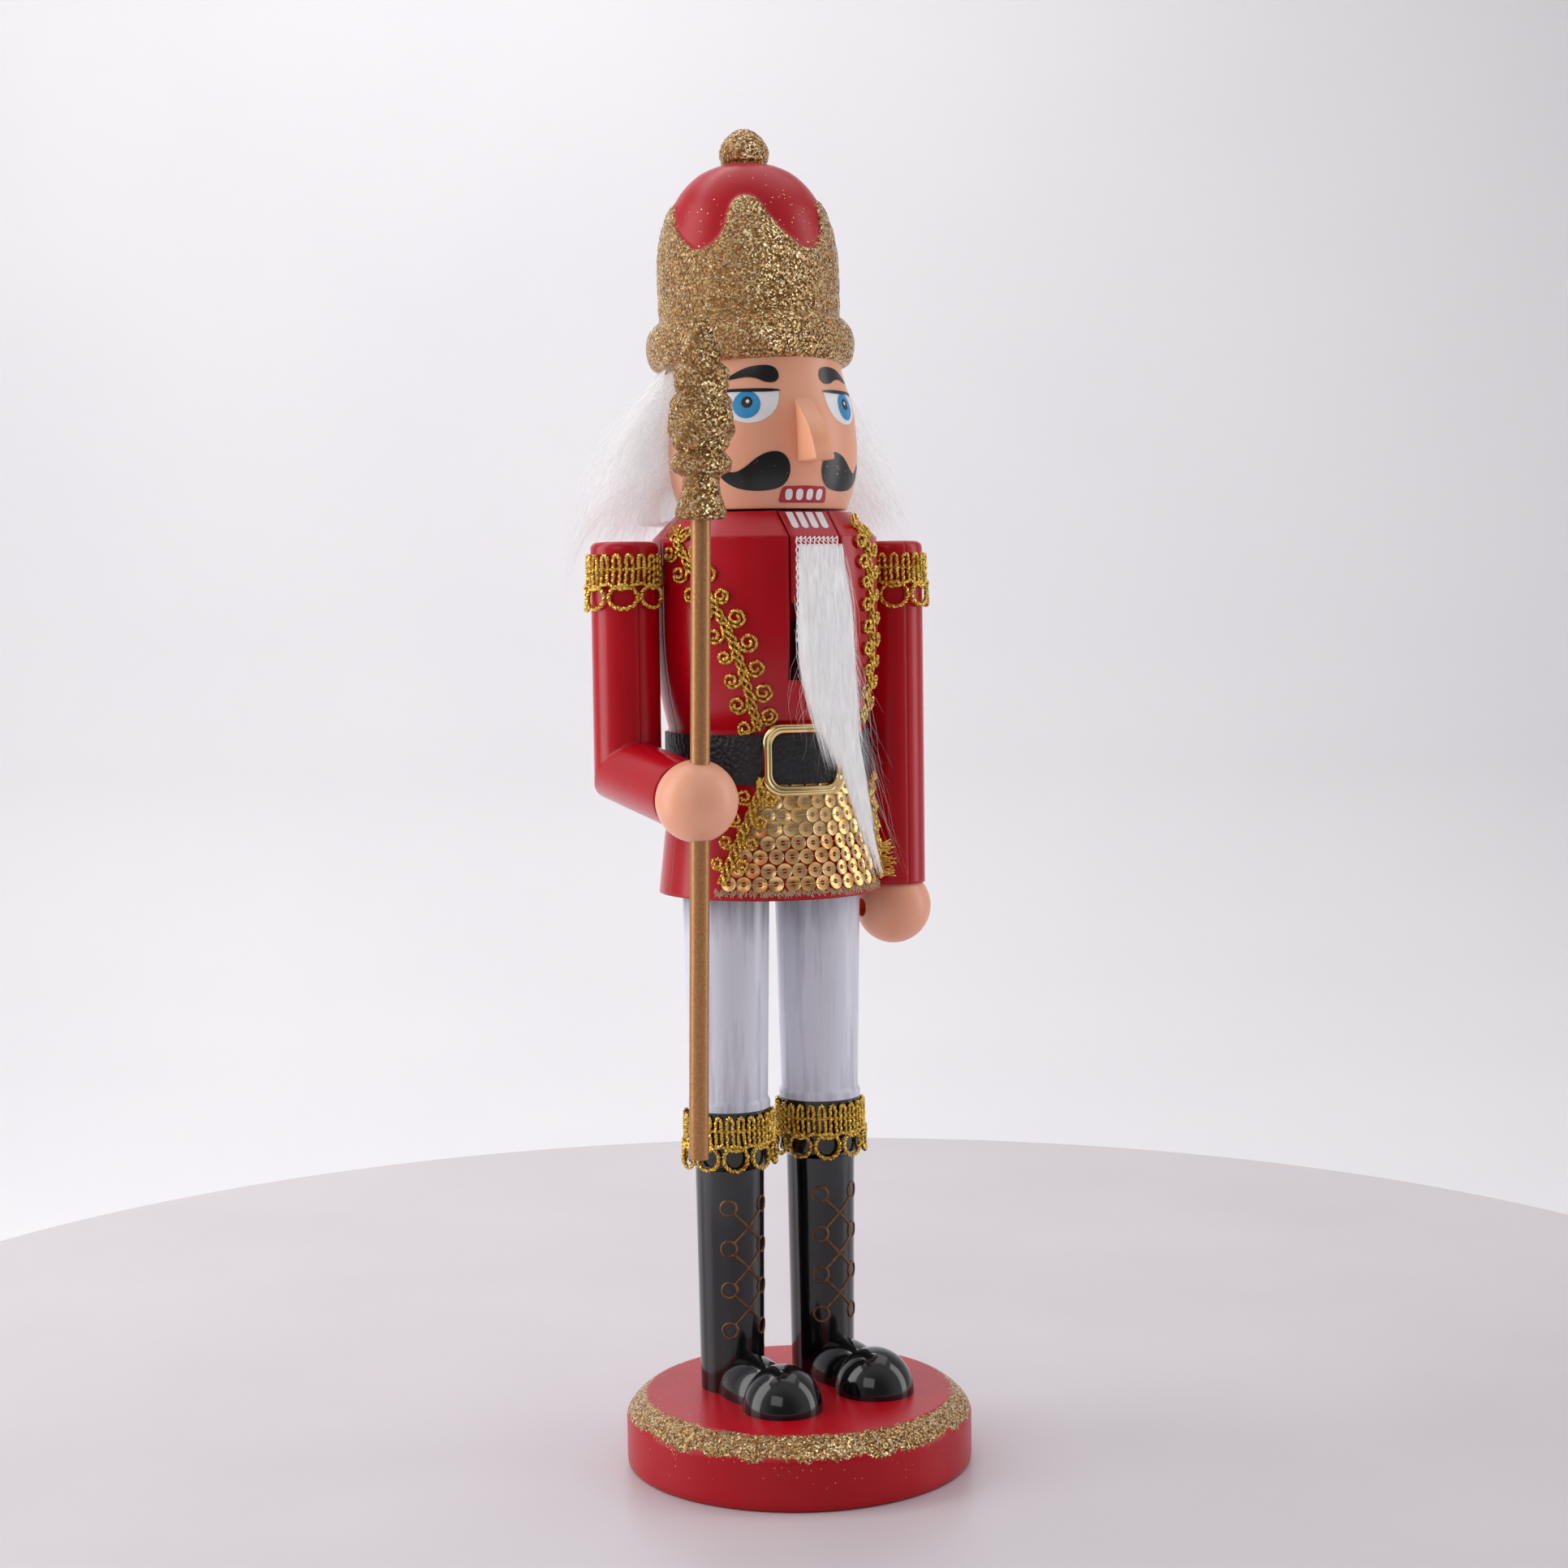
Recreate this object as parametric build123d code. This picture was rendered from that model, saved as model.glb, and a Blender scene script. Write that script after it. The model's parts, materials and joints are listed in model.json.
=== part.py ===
from build123d import *
import os
from math import cos, radians, sin

# Standing nutcracker figure, moulded plastic, about 306 mm tall.
# The figure faces -Y, its right hand (with the staff) is at -X, +Z is up.
# The origin is the centre of the base's flat underside.

# ---- driving sizes, mm ----
base_r = 40.0
base_height = 16.0
base_bevel = 4.6
base_wall = 2.0
base_plate_thick = 1.6
screw_r = 1.4
screw_head_r = 2.8
screw_length = 18.0

body_back = 12.0          # body axis, behind the centre of the base
leg_forward = 1.5         # leg line, in front of the body axis
arm_back = 2.2            # arm line, behind the body axis
legs_turn = 5.0           # the pair of legs is turned a little to the figure's left
leg_apart = 12.5          # leg axis to centre line
leg_top_r = 10.05
knee_r = 9.1
cuff_r = 9.6
boot_top_r = 8.0
boot_low_r = 7.4
boot_height = 53.5        # top of the base to the bottom of the cuff
cuff_height = 14.0
leg_height = 117.0        # top of the base to the underside of the hip plate
spigot_r = 7.6            # the part of each leg that plugs into the hip plate
spigot_length = 12.0
leg_wall = 1.5

shoe_reach = 22.0         # leg axis to the middle of the toe cap
toe_r = 9.1
toe_length_r = 9.4
toe_height = 10.0
instep_r = 6.4
instep_height = 9.4

hem_r = 25.6
waist_r = 22.9
chest_r = 26.0
shoulder_r = 20.2         # flat top of the coat
coat_wall = 1.6
coat_height = 87.3        # hem to flat top
belt_low = 26.0           # belt's lower edge above the hem
belt_width = 11.2
belt_thick = 0.85
chest_start = 60.0        # the coat reaches its full width this far above the hem
shoulder_bevel = 5.8
hem_above_plate = 1.4     # the coat's hem hangs below the hip plate
hip_plate_thick = 3.0

slot_width = 13.0
slot_depth = 37.8         # coat top to the bottom of the jaw slot
jaw_width = 12.0
jaw_block_height = 20.5
jaw_arm_height = 10.0
jaw_pin_r = 1.5
handle_drop = 52.0        # the lever's handle below the pin
handle_thick = 4.4
handle_gap = 3.2          # handle to the coat's back

head_gap = 0.6            # coat top to head
head_low_r = 19.6
head_mid_r = 21.8
head_top_r = 17.9
head_mid_height = 13.8
head_height = 33.0
head_wall = 1.8
head_corner = 1.0
neck_peg_r = 4.5
neck_peg_length = 12.0
nose_width = 4.8
nose_length = 15.0
nose_out = 8.8
nose_low = 10.2           # nose's lower end above the bottom of the head

hat_back = 4.0            # hat axis, behind the body axis
hat_side = -0.8
hat_tilt = 2.5            # front up
brim_r = 24.0
brim_height = 10.4
crown_r = 20.0
crown_height = 13.0       # straight wall above the brim
dome_height = 22.7
hat_wall = 1.8
relief = 0.7              # the crown's points stand out this far
crown_points = 5
point_height = 12.0
finial_r = 5.8
finial_height = 8.5
hat_peg_r = 5.0
hat_peg_length = 9.0

arm_r = 7.7
arm_wall = 1.5
arm_top = 80.9            # arm's top above the hem
shoulder_gap = 0.70       # arm to coat
shoulder_drop = arm_r     # shoulder pin below the arm's top
shoulder_pin_r = 2.5
straight_length = 81.3    # left arm, top to the end of the sleeve
elbow_drop = 52.0         # right arm, top to the elbow point
forearm_dip = 7.0         # degrees below level
forearm_length = 31.3     # elbow point to the end of the sleeve
hand_r = 9.0
hand_from_sleeve = 5.8
hand_peg_length = 6.0
grip_r = 2.2              # hole through either hand
grip_ahead = 1.6          # right hand's hole, in front of the ball's centre

staff_r = 2.14
staff_below = 78.5        # staff below the hand's centre
staff_above = 60.5        # hand's centre to the underside of the staff head
staff_tilt = 2.5          # top forward
staff_head_length = 43.6
staff_socket = 8.0

pin_clearance = 0.05
seat_clearance = 0.05
soft_gap = 0.3            # trims and fur stand this far off what moves

buckle_width = 20.5
buckle_height = 16.4
buckle_bar = 2.1
buckle_thick = 1.7
buckle_off = 0.5          # buckle's back to the belt
buckle_turn = 5.5         # towards the figure's right

apron_half_angle = 57.0
apron_thick = 0.8
apron_off = 0.5           # apron to coat at the hem
apron_above_hem = 2.2
trim_height = 13.2
trim_thick = 1.4
knee_trim_low = -1.2      # lower edge of the knee trim, from the bottom of the cuff
epaulette_drop = 2.6      # below the arm's top
epaulette_from = -48.0    # degrees from straight ahead, towards the body
epaulette_to = 150.0
braid_width = 7.0
braid_thick = 1.8
side_braid_width = 4.5

tape_width = 11.0
tape_drop = 7.6           # top of the beard's tape below the jaw's top
tape_thick = 0.7
beard_length = 76.0
beard_width = 15.0
beard_thick = 4.6
beard_drift = 9.0         # the beard's foot hangs to the figure's left
hair_half_angle = 78.0    # from straight behind
hair_top_r = 31.0
hair_low_r = 36.0
hair_drop = 37.3

# ---- levels worked out from them ----
floor_z = base_height
plate_z = floor_z + leg_height
hem_z = plate_z - hem_above_plate
belt_z = hem_z + belt_low
coat_top_z = hem_z + coat_height
head_z = coat_top_z + head_gap
brim_z = head_z + head_height
arm_top_z = hem_z + arm_top
shoulder_z = arm_top_z - shoulder_drop
arm_x = chest_r + shoulder_gap + arm_r
arm_y = body_back + arm_back
pin_z = coat_top_z - 20.0
cuff_z = floor_z + boot_height

body = Pos(0, body_back, 0)
legs_at = Pos(0, body_back - leg_forward, 0) * Rot(Z=legs_turn)
hat_at = Pos(hat_side, body_back + hat_back, brim_z) * Rot(X=-hat_tilt)
big = 400.0


def turned(edges, arc=360.0):
    """A solid of revolution about Z from edges drawn as (radius, height)."""
    return revolve(Plane.XZ * make_face(edges), Axis.Z, arc)


def sector(solid, middle, half_angle):
    """The part of a ring about Z that lies within half_angle of a direction in degrees."""
    step = half_angle / 4
    reach = 150.0
    rim = [(reach * cos(radians(middle - half_angle + i * step)),
            reach * sin(radians(middle - half_angle + i * step))) for i in range(9)]
    wedge = extrude(make_face(Polyline((0, 0), *rim, close=True)), big, both=True)
    return solid & wedge


def front_half(solid, y):
    return solid & Pos(0, y - big / 2, 0) * Box(big, big, 2 * big)


def back_half(solid, y):
    return solid & Pos(0, y + big / 2, 0) * Box(big, big, 2 * big)


# ---- base ----
def base_shell():
    r, h, b = base_r, base_height, base_bevel
    outer = turned(Polyline((0, 0), (r, 0), (r, h - b), (r - b, h), (0, h), close=True))
    hollow = turned(Polyline((0, 0), (r - base_wall, 0), (r - base_wall, h - b - 0.6),
                             (r - b - 0.8, h - base_wall), (0, h - base_wall), close=True))
    posts = [legs_at * Pos(side * leg_apart, 0, h / 2 + base_plate_thick / 2)
             * Cylinder(4.5, h - base_plate_thick) for side in (-1, 1)]
    shell = outer - hollow
    for post in posts:
        shell += post
    for side in (-1, 1):
        shell -= legs_at * Pos(side * leg_apart, 0, h / 2) * Cylinder(screw_r + pin_clearance, 2 * h)
        shell -= legs_at * Pos(side * leg_apart, 0, base_plate_thick + 2) * Cylinder(screw_head_r + 0.3, 8)
    return shell


def base_plate():
    return Pos(0, 0, base_plate_thick / 2) * Cylinder(base_r - base_wall - seat_clearance, base_plate_thick)


def leg_screws():
    """One screw up through the base into each leg."""
    low = base_plate_thick + 4.4
    screws = []
    for side in (-1, 1):
        at = legs_at * Pos(side * leg_apart, 0, 0)
        shank = at * Pos(0, 0, low + screw_length / 2) * Cylinder(screw_r, screw_length)
        head = at * Pos(0, 0, low + 0.8) * Cylinder(screw_head_r, 1.6)
        screws.append((shank + head) - at * Pos(0, 0, low) * Box(0.7, 3.6, 1.2))
    return Compound(screws)


# ---- legs ----
def leg_profile(inset, low, high):
    """Boot, cuff and trouser leg, as (radius, height)."""
    f, c = floor_z, cuff_z
    return Polyline((0, low), (boot_low_r - inset, low), (boot_top_r - inset, c - 1.4),
                    (cuff_r - inset, c), (cuff_r - inset, c + cuff_height),
                    (knee_r - inset, c + cuff_height + 1.0), (leg_top_r - inset, plate_z - inset),
                    (spigot_r - inset, plate_z - inset), (spigot_r - inset, high), (0, high), close=True)


def leg():
    tube = turned(leg_profile(0, floor_z, plate_z + spigot_length))
    hollow = turned(leg_profile(leg_wall, floor_z + 9.0, plate_z + spigot_length - leg_wall))
    bore = Pos(0, 0, floor_z) * Cylinder(screw_r + seat_clearance, 2 * screw_length)
    return tube - hollow - bore


def leg_half(side, front):
    half = front_half(leg(), 0) if front else back_half(leg(), 0)
    return legs_at * Pos(side * leg_apart, 0, 0) * half


def shoe(side):
    toe = Pos(0, -shoe_reach, floor_z) * scale(Sphere(1), by=(toe_r, toe_length_r, toe_height))
    reach = shoe_reach - 3.0
    instep = Pos(0, -reach / 2 - 1.0, floor_z) * scale(
        Sphere(1), by=(instep_r + 0.6, reach / 2 + 4.5, instep_height))
    upper = (toe + instep) & Pos(0, 0, floor_z + big / 2) * Box(big, big, big)
    ankle = Polyline((0, floor_z - 1), (boot_low_r + seat_clearance, floor_z - 1),
                     (boot_top_r + seat_clearance, cuff_z), (0, cuff_z), close=True)
    upper -= turned(ankle)
    ahead = upper & Pos(0, -big / 2, 0) * Box(big, big, big * 2)
    return legs_at * Pos(side * leg_apart, 0, 0) * ahead


def hip_plate():
    plate = body * Pos(0, 0, plate_z + hip_plate_thick / 2) * Cylinder(
        hem_r - coat_wall - 0.55, hip_plate_thick)
    for side in (-1, 1):
        plate -= legs_at * Pos(side * leg_apart, 0, plate_z) * Cylinder(
            spigot_r + seat_clearance, 4 * hip_plate_thick)
    return plate


# ---- coat ----
def coat_radius(z):
    """Outer radius of the coat at a height."""
    up = z - hem_z
    belt_high = belt_low + belt_width
    if up <= belt_low - 2:
        return hem_r + (waist_r - hem_r) * up / (belt_low - 2)
    if up <= belt_high + 1:
        return waist_r
    if up <= chest_start:
        t = (up - belt_high - 1) / (chest_start - belt_high - 1)
        return waist_r + (chest_r - waist_r) * sin(radians(90 * t))
    if up <= coat_height - shoulder_bevel:
        return chest_r
    return chest_r + (shoulder_r - chest_r) * (up - coat_height + shoulder_bevel) / shoulder_bevel


def coat_solid(grow, low=None, high=None):
    """The coat's outer form, grown or shrunk, filled to the axis."""
    low = hem_z if low is None else low
    high = coat_top_z + min(grow, 0) if high is None else high
    start = hem_z + belt_low + belt_width + 1
    rise = ThreePointArc((waist_r + grow, start),
                         (coat_radius((start + hem_z + chest_start) / 2) + grow, (start + hem_z + chest_start) / 2),
                         (chest_r + grow, hem_z + chest_start))
    bevel_z = coat_top_z - shoulder_bevel
    lower = Polyline((0, low), (hem_r + grow, low), (waist_r + grow, hem_z + belt_low - 2),
                     (waist_r + grow, start))
    upper = Polyline((chest_r + grow, hem_z + chest_start), (chest_r + grow, bevel_z),
                     (shoulder_r + grow, high), (0, high))
    return turned([*lower.edges(), rise, *upper.edges(), Line((0, high), (0, low))])


def coat():
    shell = coat_solid(0) - coat_solid(-coat_wall, low=hem_z)
    shell = body * shell
    slot_z = coat_top_z - slot_depth
    front = Box(slot_width, chest_r, slot_depth + 2, align=(Align.CENTER, Align.MAX, Align.MIN))
    shell -= Pos(0, body_back - 9.0, slot_z) * front
    rear_low = pin_z - jaw_arm_height / 2 - 1.5
    rear = Box(slot_width, chest_r, 21.0, align=(Align.CENTER, Align.MIN, Align.MIN))
    shell -= Pos(0, body_back + 9.0, rear_low) * rear
    for side in (-1, 1):
        boss = Pos(side * (chest_r - 6.0), body_back, pin_z) * Rot(Y=90) * Cylinder(3.2, 10.0)
        shell += boss & body * coat_solid(-coat_wall / 2)
        shell -= shoulder_bore(side)
    shell -= Pos(0, body_back, pin_z) * Rot(Y=90) * Cylinder(jaw_pin_r + pin_clearance, 2 * chest_r - 3.0)
    shell -= Pos(0, neck_y, coat_top_z) * Cylinder(neck_peg_r + seat_clearance, 6.0)
    return shell


neck_y = body_back + 9.5


def shoulder_bore(side):
    return Pos(side * chest_r, arm_y, shoulder_z) * Rot(Y=90) * Cylinder(shoulder_pin_r + pin_clearance, 12.0)


def neck_peg():
    return Pos(0, neck_y, coat_top_z - 1.0 + head_gap) * Cylinder(neck_peg_r, neck_peg_length)


# ---- jaw ----
def jaw_lever():
    """Jaw block in front, arm through the coat over the pin, handle down the back."""
    top = coat_top_z - 0.1
    face = body_back - chest_r + 0.5
    slope = face + (chest_r - shoulder_r)
    block_low = top - jaw_block_height
    low, high = pin_z - jaw_arm_height / 2, pin_z + jaw_arm_height / 2
    back = body_back + chest_r + handle_gap
    outer = back + handle_thick
    side = Polyline((face, block_low), (face, top - shoulder_bevel), (slope, top), (slope + 5.0, top),
                    (body_back - 10.0, high), (outer - 4.0, high), (outer, high - 4.0),
                    (outer + 0.6, pin_z - handle_drop * 0.55), (outer - 1.0, pin_z - handle_drop),
                    (back - 0.8, pin_z - handle_drop), (back + 0.2, pin_z - handle_drop * 0.5),
                    (back, low), (body_back - 10.0, low), (face + 8.0, block_low), close=True)
    lever = extrude(Plane.YZ * make_face(side), jaw_width / 2, both=True)
    lever = fillet(lever.edges().filter_by(Axis.X).sort_by(Axis.Z)[:2], 1.0)
    return lever - Pos(0, body_back, pin_z) * Rot(Y=90) * Cylinder(jaw_pin_r + pin_clearance, 2 * jaw_width)


def jaw_pin():
    return Pos(0, body_back, pin_z) * Rot(Y=90) * Cylinder(jaw_pin_r, 2 * chest_r - 3.4)


def beard_tape():
    face = body_back - chest_r + 0.5
    top = coat_top_z - 0.1 - tape_drop
    low = top - (jaw_block_height - tape_drop)
    return Pos(0, face - tape_thick / 2, (top + low) / 2) * Box(tape_width, tape_thick, top - low)


def beard():
    """A soft fall of fur from the tape to the apron, widest at its middle."""
    back = body_back - chest_r + 0.5 - tape_thick - 0.05
    top = coat_top_z - tape_drop - 1.2
    low = top - beard_length
    out = back - beard_thick
    side = Polyline((back, top), (back - 2.2, top - 1.0), (out - 0.4, top - 12.0), (out - 0.8, top - 40.0),
                    (out + 1.2, low), (back - 1.4, low), (back, top - 44.0), close=True)
    slab = extrude(Plane.YZ * make_face(side), beard_width, both=True)
    half, foot = beard_width / 2, beard_drift
    shape = Polyline((-half * 0.72, top), (half * 0.72, top), (half, top - 20.0), (half + 1.5, top - 45.0),
                     (foot + 4.0, low), (foot - 3.0, low), (-half + 2.0, top - 40.0), (-half, top - 15.0), close=True)
    outline = extrude(Plane.XZ * make_face(shape), 60.0, both=True)
    return slab & outline


# ---- head ----
def head_solid(inset):
    low = head_z + inset
    high = head_z + head_height + 4.0 - inset
    mid = head_z + head_mid_height
    corner = max(head_corner - inset, 0.2)
    bend = Line((head_low_r - inset - corner, low), (head_low_r - inset, low + corner))
    # the barrel's side is one arc through its three measured radii
    side = ThreePointArc((head_low_r - inset, low + corner), (head_mid_r - inset, mid), (head_top_r - inset, high))
    return body * turned([Line((0, low), (head_low_r - inset - corner, low)), bend, side,
                          Line((head_top_r - inset, high), (0, high)), Line((0, high), (0, low))])


def above_hat_seat():
    return hat_at * Box(big, big, big, align=(Align.CENTER, Align.CENTER, Align.MIN))


def head():
    skin = head_solid(0) - above_hat_seat()
    cap = hat_at * Pos(0, 0, -head_wall) * Box(big, big, big, align=(Align.CENTER, Align.CENTER, Align.MIN))
    skin -= head_solid(head_wall) - cap
    skin -= Pos(0, neck_y, head_z) * Cylinder(neck_peg_r + seat_clearance, 8.0)
    skin -= hat_at * Cylinder(hat_peg_r + seat_clearance, 8.0)
    return skin


def nose():
    """A wedge with a bowed ridge, glued on the middle of the face."""
    low = head_z + nose_low
    high = low + nose_length
    face = body_back - head_mid_r
    tip = face - nose_out
    ridge = Spline((face + 0.6, high), (tip + 2.6, high - nose_length * 0.45), (tip, low + 0.4))
    side = [ridge, Line((tip, low + 0.4), (tip + 0.6, low)), Line((tip + 0.6, low), (face + 4.0, low)),
            Line((face + 4.0, low), (face + 4.0, high)), Line((face + 4.0, high), (face + 0.6, high))]
    wedge = extrude(Plane.YZ * make_face(side), nose_width / 2, both=True)
    return wedge - head_solid(-0.02)


# ---- hat ----
def hat_solid(grow):
    """Brim, crown wall and dome, standing on its own underside at height 0."""
    bead = brim_height / 2
    wall_z = brim_height + crown_height
    brim = ThreePointArc((brim_r - 3.2 + grow, -min(grow, 0)), (brim_r + grow, bead), (crown_r + grow, brim_height + 0.6))
    wall = Line((crown_r + grow, brim_height + 0.6), (crown_r + 0.4 + grow, wall_z))
    top = wall_z + dome_height + grow
    a, b = crown_r + 0.4 + grow, dome_height + grow
    dome = Spline(*[(a * cos(radians(t)), wall_z + b * sin(radians(t))) for t in (0, 18, 36, 54, 72, 90)],
                  tangents=((0, 1), (-1, 0)))
    low = -min(grow, 0)
    return turned([Line((0, low), (brim_r - 3.2 + grow, low)), brim, wall, dome, Line((0, top), (0, low))])


def valley(index):
    """What one gap between two of the crown's points takes away."""
    wall_z = brim_height + crown_height
    turn = 360.0 / crown_points
    half = crown_r * sin(radians(turn * 0.36))
    low = wall_z + 3.0
    top = wall_z + dome_height + 4.0
    left = Spline((-half * 0.1, low), (-half * 0.7, low + 3.0), (-half * 0.95, low + point_height))
    right = Spline((half * 0.1, low), (half * 0.45, low + 2.6), (half * 0.95, low + point_height))
    edges = [left, right, Line((-half * 0.1, low), (half * 0.1, low)),
             Line((-half * 0.95, low + point_height), (-half * 1.5, top)), Line((-half * 1.5, top), (half * 1.5, top)),
             Line((half * 1.5, top), (half * 0.95, low + point_height))]
    cut = extrude(Plane.XZ * make_face(edges), 3 * crown_r)
    return Rot(Z=turn * (index + 0.5) - 27.0) * cut


def hat_shell():
    raised = hat_solid(relief) & Pos(0, 0, big / 2) * Box(big, big, big)
    for index in range(crown_points):
        raised -= valley(index)
    raised -= Pos(0, 0, brim_height + crown_height + 3.0 + point_height + big / 2) * Box(big, big, big)
    outer = raised + hat_solid(0)
    hollow = hat_solid(-hat_wall)
    shell = outer - hollow - Cylinder(hat_peg_r + seat_clearance, 8.0)
    return hat_at * shell


def hat_peg():
    return hat_at * Cylinder(hat_peg_r, hat_peg_length)


def hat_finial():
    """A flattened knob on a short collar."""
    low = brim_height + crown_height + dome_height + seat_clearance
    r, h = finial_r, finial_height
    widest = h * 0.38
    top = Spline(*[(r * cos(radians(t)), widest + (h - widest) * sin(radians(t))) for t in (0, 22, 45, 68, 90)],
                 tangents=((0, 1), (-1, 0)))
    knob = [Line((0, 0), (r - 1.4, 0)), Line((r - 1.4, 0), (r - 0.5, 1.0)), Line((r - 0.5, 1.0), (r, widest)),
            top, Line((0, h), (0, 0))]
    return hat_at * Pos(0, 0, low) * turned(knob)


def hair():
    """Soft fur round the back of the head, from ear to ear."""
    low = brim_z - hair_drop
    high = brim_z - 1.3
    inner = head_mid_r + 0.25
    fur = turned(Polyline((inner, low), (hair_low_r, low), (hair_top_r, high - 3.0), (hair_top_r - 3.0, high),
                           (inner, high), close=True))
    return body * (sector(fur, 90.0, hair_half_angle) - coat_solid(soft_gap))


# ---- arms and hands ----
def sleeve(points, r, first):
    path = Polyline(*points) if len(points) > 2 else Line(*points)
    return sweep(Plane(points[0], z_dir=first) * Circle(r), path=path, transition=Transition.RIGHT)


def arm_points(side, extra):
    top = (side * arm_x, arm_y, arm_top_z + extra)
    if side > 0:
        return [top, (side * arm_x, arm_y, arm_top_z - straight_length)]
    dip = radians(forearm_dip)
    elbow = (side * arm_x, arm_y, arm_top_z - elbow_drop)
    wrist = (side * arm_x, arm_y - forearm_length * cos(dip), elbow[2] - forearm_length * sin(dip))
    return [top, elbow, wrist]


def arm(side):
    skin = sleeve(arm_points(side, 0), arm_r, (0, 0, -1))
    skin = fillet(skin.edges().filter_by(GeomType.CIRCLE).sort_by(Axis.Z)[-1], 1.6)
    skin -= sleeve(arm_points(side, -arm_wall), arm_r - arm_wall, (0, 0, -1))
    boss = Pos(side * (arm_x - arm_r + 3.6), arm_y, shoulder_z) * Rot(Y=90) * Cylinder(4.2, 6.0)
    skin += boss
    return skin - Pos(side * (arm_x - arm_r), arm_y, shoulder_z) * Rot(Y=90) * Cylinder(
        shoulder_pin_r + seat_clearance, 13.0)


def arm_half(side, outer):
    away = side if outer else -side
    return arm(side) & Pos(side * arm_x + away * big / 2, 0, 0) * Box(big, big, 2 * big)


def hand_frame(side):
    """The ball's centre, with Z along the wrist towards the elbow."""
    points = arm_points(side, 0)
    wrist = Vector(*points[-1])
    back = (Vector(*points[-2]) - wrist).normalized()
    return Plane(wrist - back * hand_from_sleeve, x_dir=(1, 0, 0), z_dir=back)


def hand(side):
    at = hand_frame(side)
    ball = Sphere(hand_r) & Pos(0, 0, hand_from_sleeve - big / 2) * Box(big, big, big)
    peg = Pos(0, 0, hand_from_sleeve + hand_peg_length / 2 - 0.5) * Cylinder(
        arm_r - arm_wall - seat_clearance, hand_peg_length + 1.0)
    whole = at * (ball + peg)
    if side > 0:
        return whole - Pos(at.origin) * Rot(Y=90) * Cylinder(grip_r, 4 * hand_r)
    return whole - staff_place() * Cylinder(grip_r, 6 * hand_r)


def shoulder_pin(side):
    """A peg fixed in the arm, which turns in the coat."""
    inner = chest_r - 5.0
    outer = arm_x - arm_r + 6.3
    return Pos(side * (inner + outer) / 2, arm_y, shoulder_z) * Rot(Y=90) * Cylinder(shoulder_pin_r, outer - inner)


# ---- staff ----
def staff_place():
    centre = hand_frame(-1).origin
    return Pos(centre.X, centre.Y - grip_ahead, centre.Z) * Rot(X=staff_tilt)


def staff_rod():
    low, high = -staff_below, staff_above + staff_socket
    return staff_place() * Pos(0, 0, (low + high) / 2) * Cylinder(staff_r, high - low)


def staff_head():
    """A turned pine-cone finial: bell, neck, ring, cone and tip."""
    h = staff_head_length
    bell = Spline((3.8, 0), (5.6, 1.6), (5.0, 7.4), (6.3, 11.6), (6.4, 14.2), (6.0, 16.6), (7.0, 23.0),
                  (5.5, 28.0), (5.8, 32.0), (4.3, 37.0), (2.3, 41.0), (0.6, h))
    edges = [Line((0, 0), (3.8, 0)), bell, Line((0.6, h), (0, h)), Line((0, h), (0, 0))]
    socket = Pos(0, 0, staff_socket / 2) * Cylinder(staff_r + seat_clearance, staff_socket)
    return staff_place() * Pos(0, 0, staff_above) * (turned(edges) - socket)


# ---- belt, buckle, apron and trims ----
def ring(inner, outer, low, high):
    height = high - low
    middle = Pos(0, 0, (low + high) / 2)
    return middle * (Cylinder(outer, height) - Cylinder(inner, height))


def belt():
    return body * ring(waist_r + seat_clearance, waist_r + belt_thick, belt_z, belt_z + belt_width)


def buckle():
    middle = belt_z + belt_width / 2
    frame = RectangleRounded(buckle_width, buckle_height, 3.4) - RectangleRounded(
        buckle_width - 2 * buckle_bar, buckle_height - 2 * buckle_bar, 2.0)
    bar = extrude(Plane.XZ * frame, 2 * chest_r)
    inner = waist_r + belt_thick + buckle_off
    shell = ring(inner, inner + buckle_thick, -buckle_height, buckle_height)
    return body * Pos(0, 0, middle) * Rot(Z=-buckle_turn) * (bar & shell)


def apron():
    low = hem_z + apron_above_hem
    high = belt_z - 0.2
    low_r, high_r = hem_r + apron_off, waist_r + apron_off - 0.4
    panel = turned(Polyline((low_r, low), (low_r + apron_thick, low), (high_r + apron_thick, high),
                            (high_r, high), close=True))
    return body * sector(panel, -90.0, apron_half_angle)


def band(solid, way, points, width):
    """A strip of a shell about the body axis, seen along a direction and drawn as (across, height)."""
    line = Polyline(*points)
    strip = trace(line, width)
    cut = extrude(Plane.XZ * strip, 2 * chest_r)
    return body * (solid & (Rot(Z=way) * cut))


def coat_skin(thick):
    return coat_solid(thick, low=hem_z, high=coat_top_z) - coat_solid(0.1, low=hem_z, high=coat_top_z)


def chest_braid(side):
    """Gimp braid glued from the shoulder down to the belt."""
    top = coat_top_z - 3.5
    low = belt_z + belt_width + 1.5
    if side < 0:
        return band(coat_skin(braid_thick), -52.0, [(-12.5, top), (-3.0, top - 17.0), (8.2, low)], braid_width)
    return band(coat_skin(braid_thick), 42.0, [(-2.0, top), (1.5, top - 20.0), (0.5, low)], braid_width)


def apron_braid(side):
    """Gimp braid glued over the apron's side edge."""
    low = hem_z + apron_above_hem
    high = belt_z - 0.3
    off = apron_off + apron_thick + 0.05
    low_r, high_r = hem_r + off, waist_r + off - 0.4
    skin = turned(Polyline((low_r, low), (low_r + braid_thick, low), (high_r + braid_thick, high),
                           (high_r, high), close=True))
    if side < 0:
        return band(skin, -40.0, [(3.6, high - 3.0), (-4.4, low)], side_braid_width)
    return body * sector(skin, -90.0 + side * (apron_half_angle - 6.0), side_braid_width)


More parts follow.
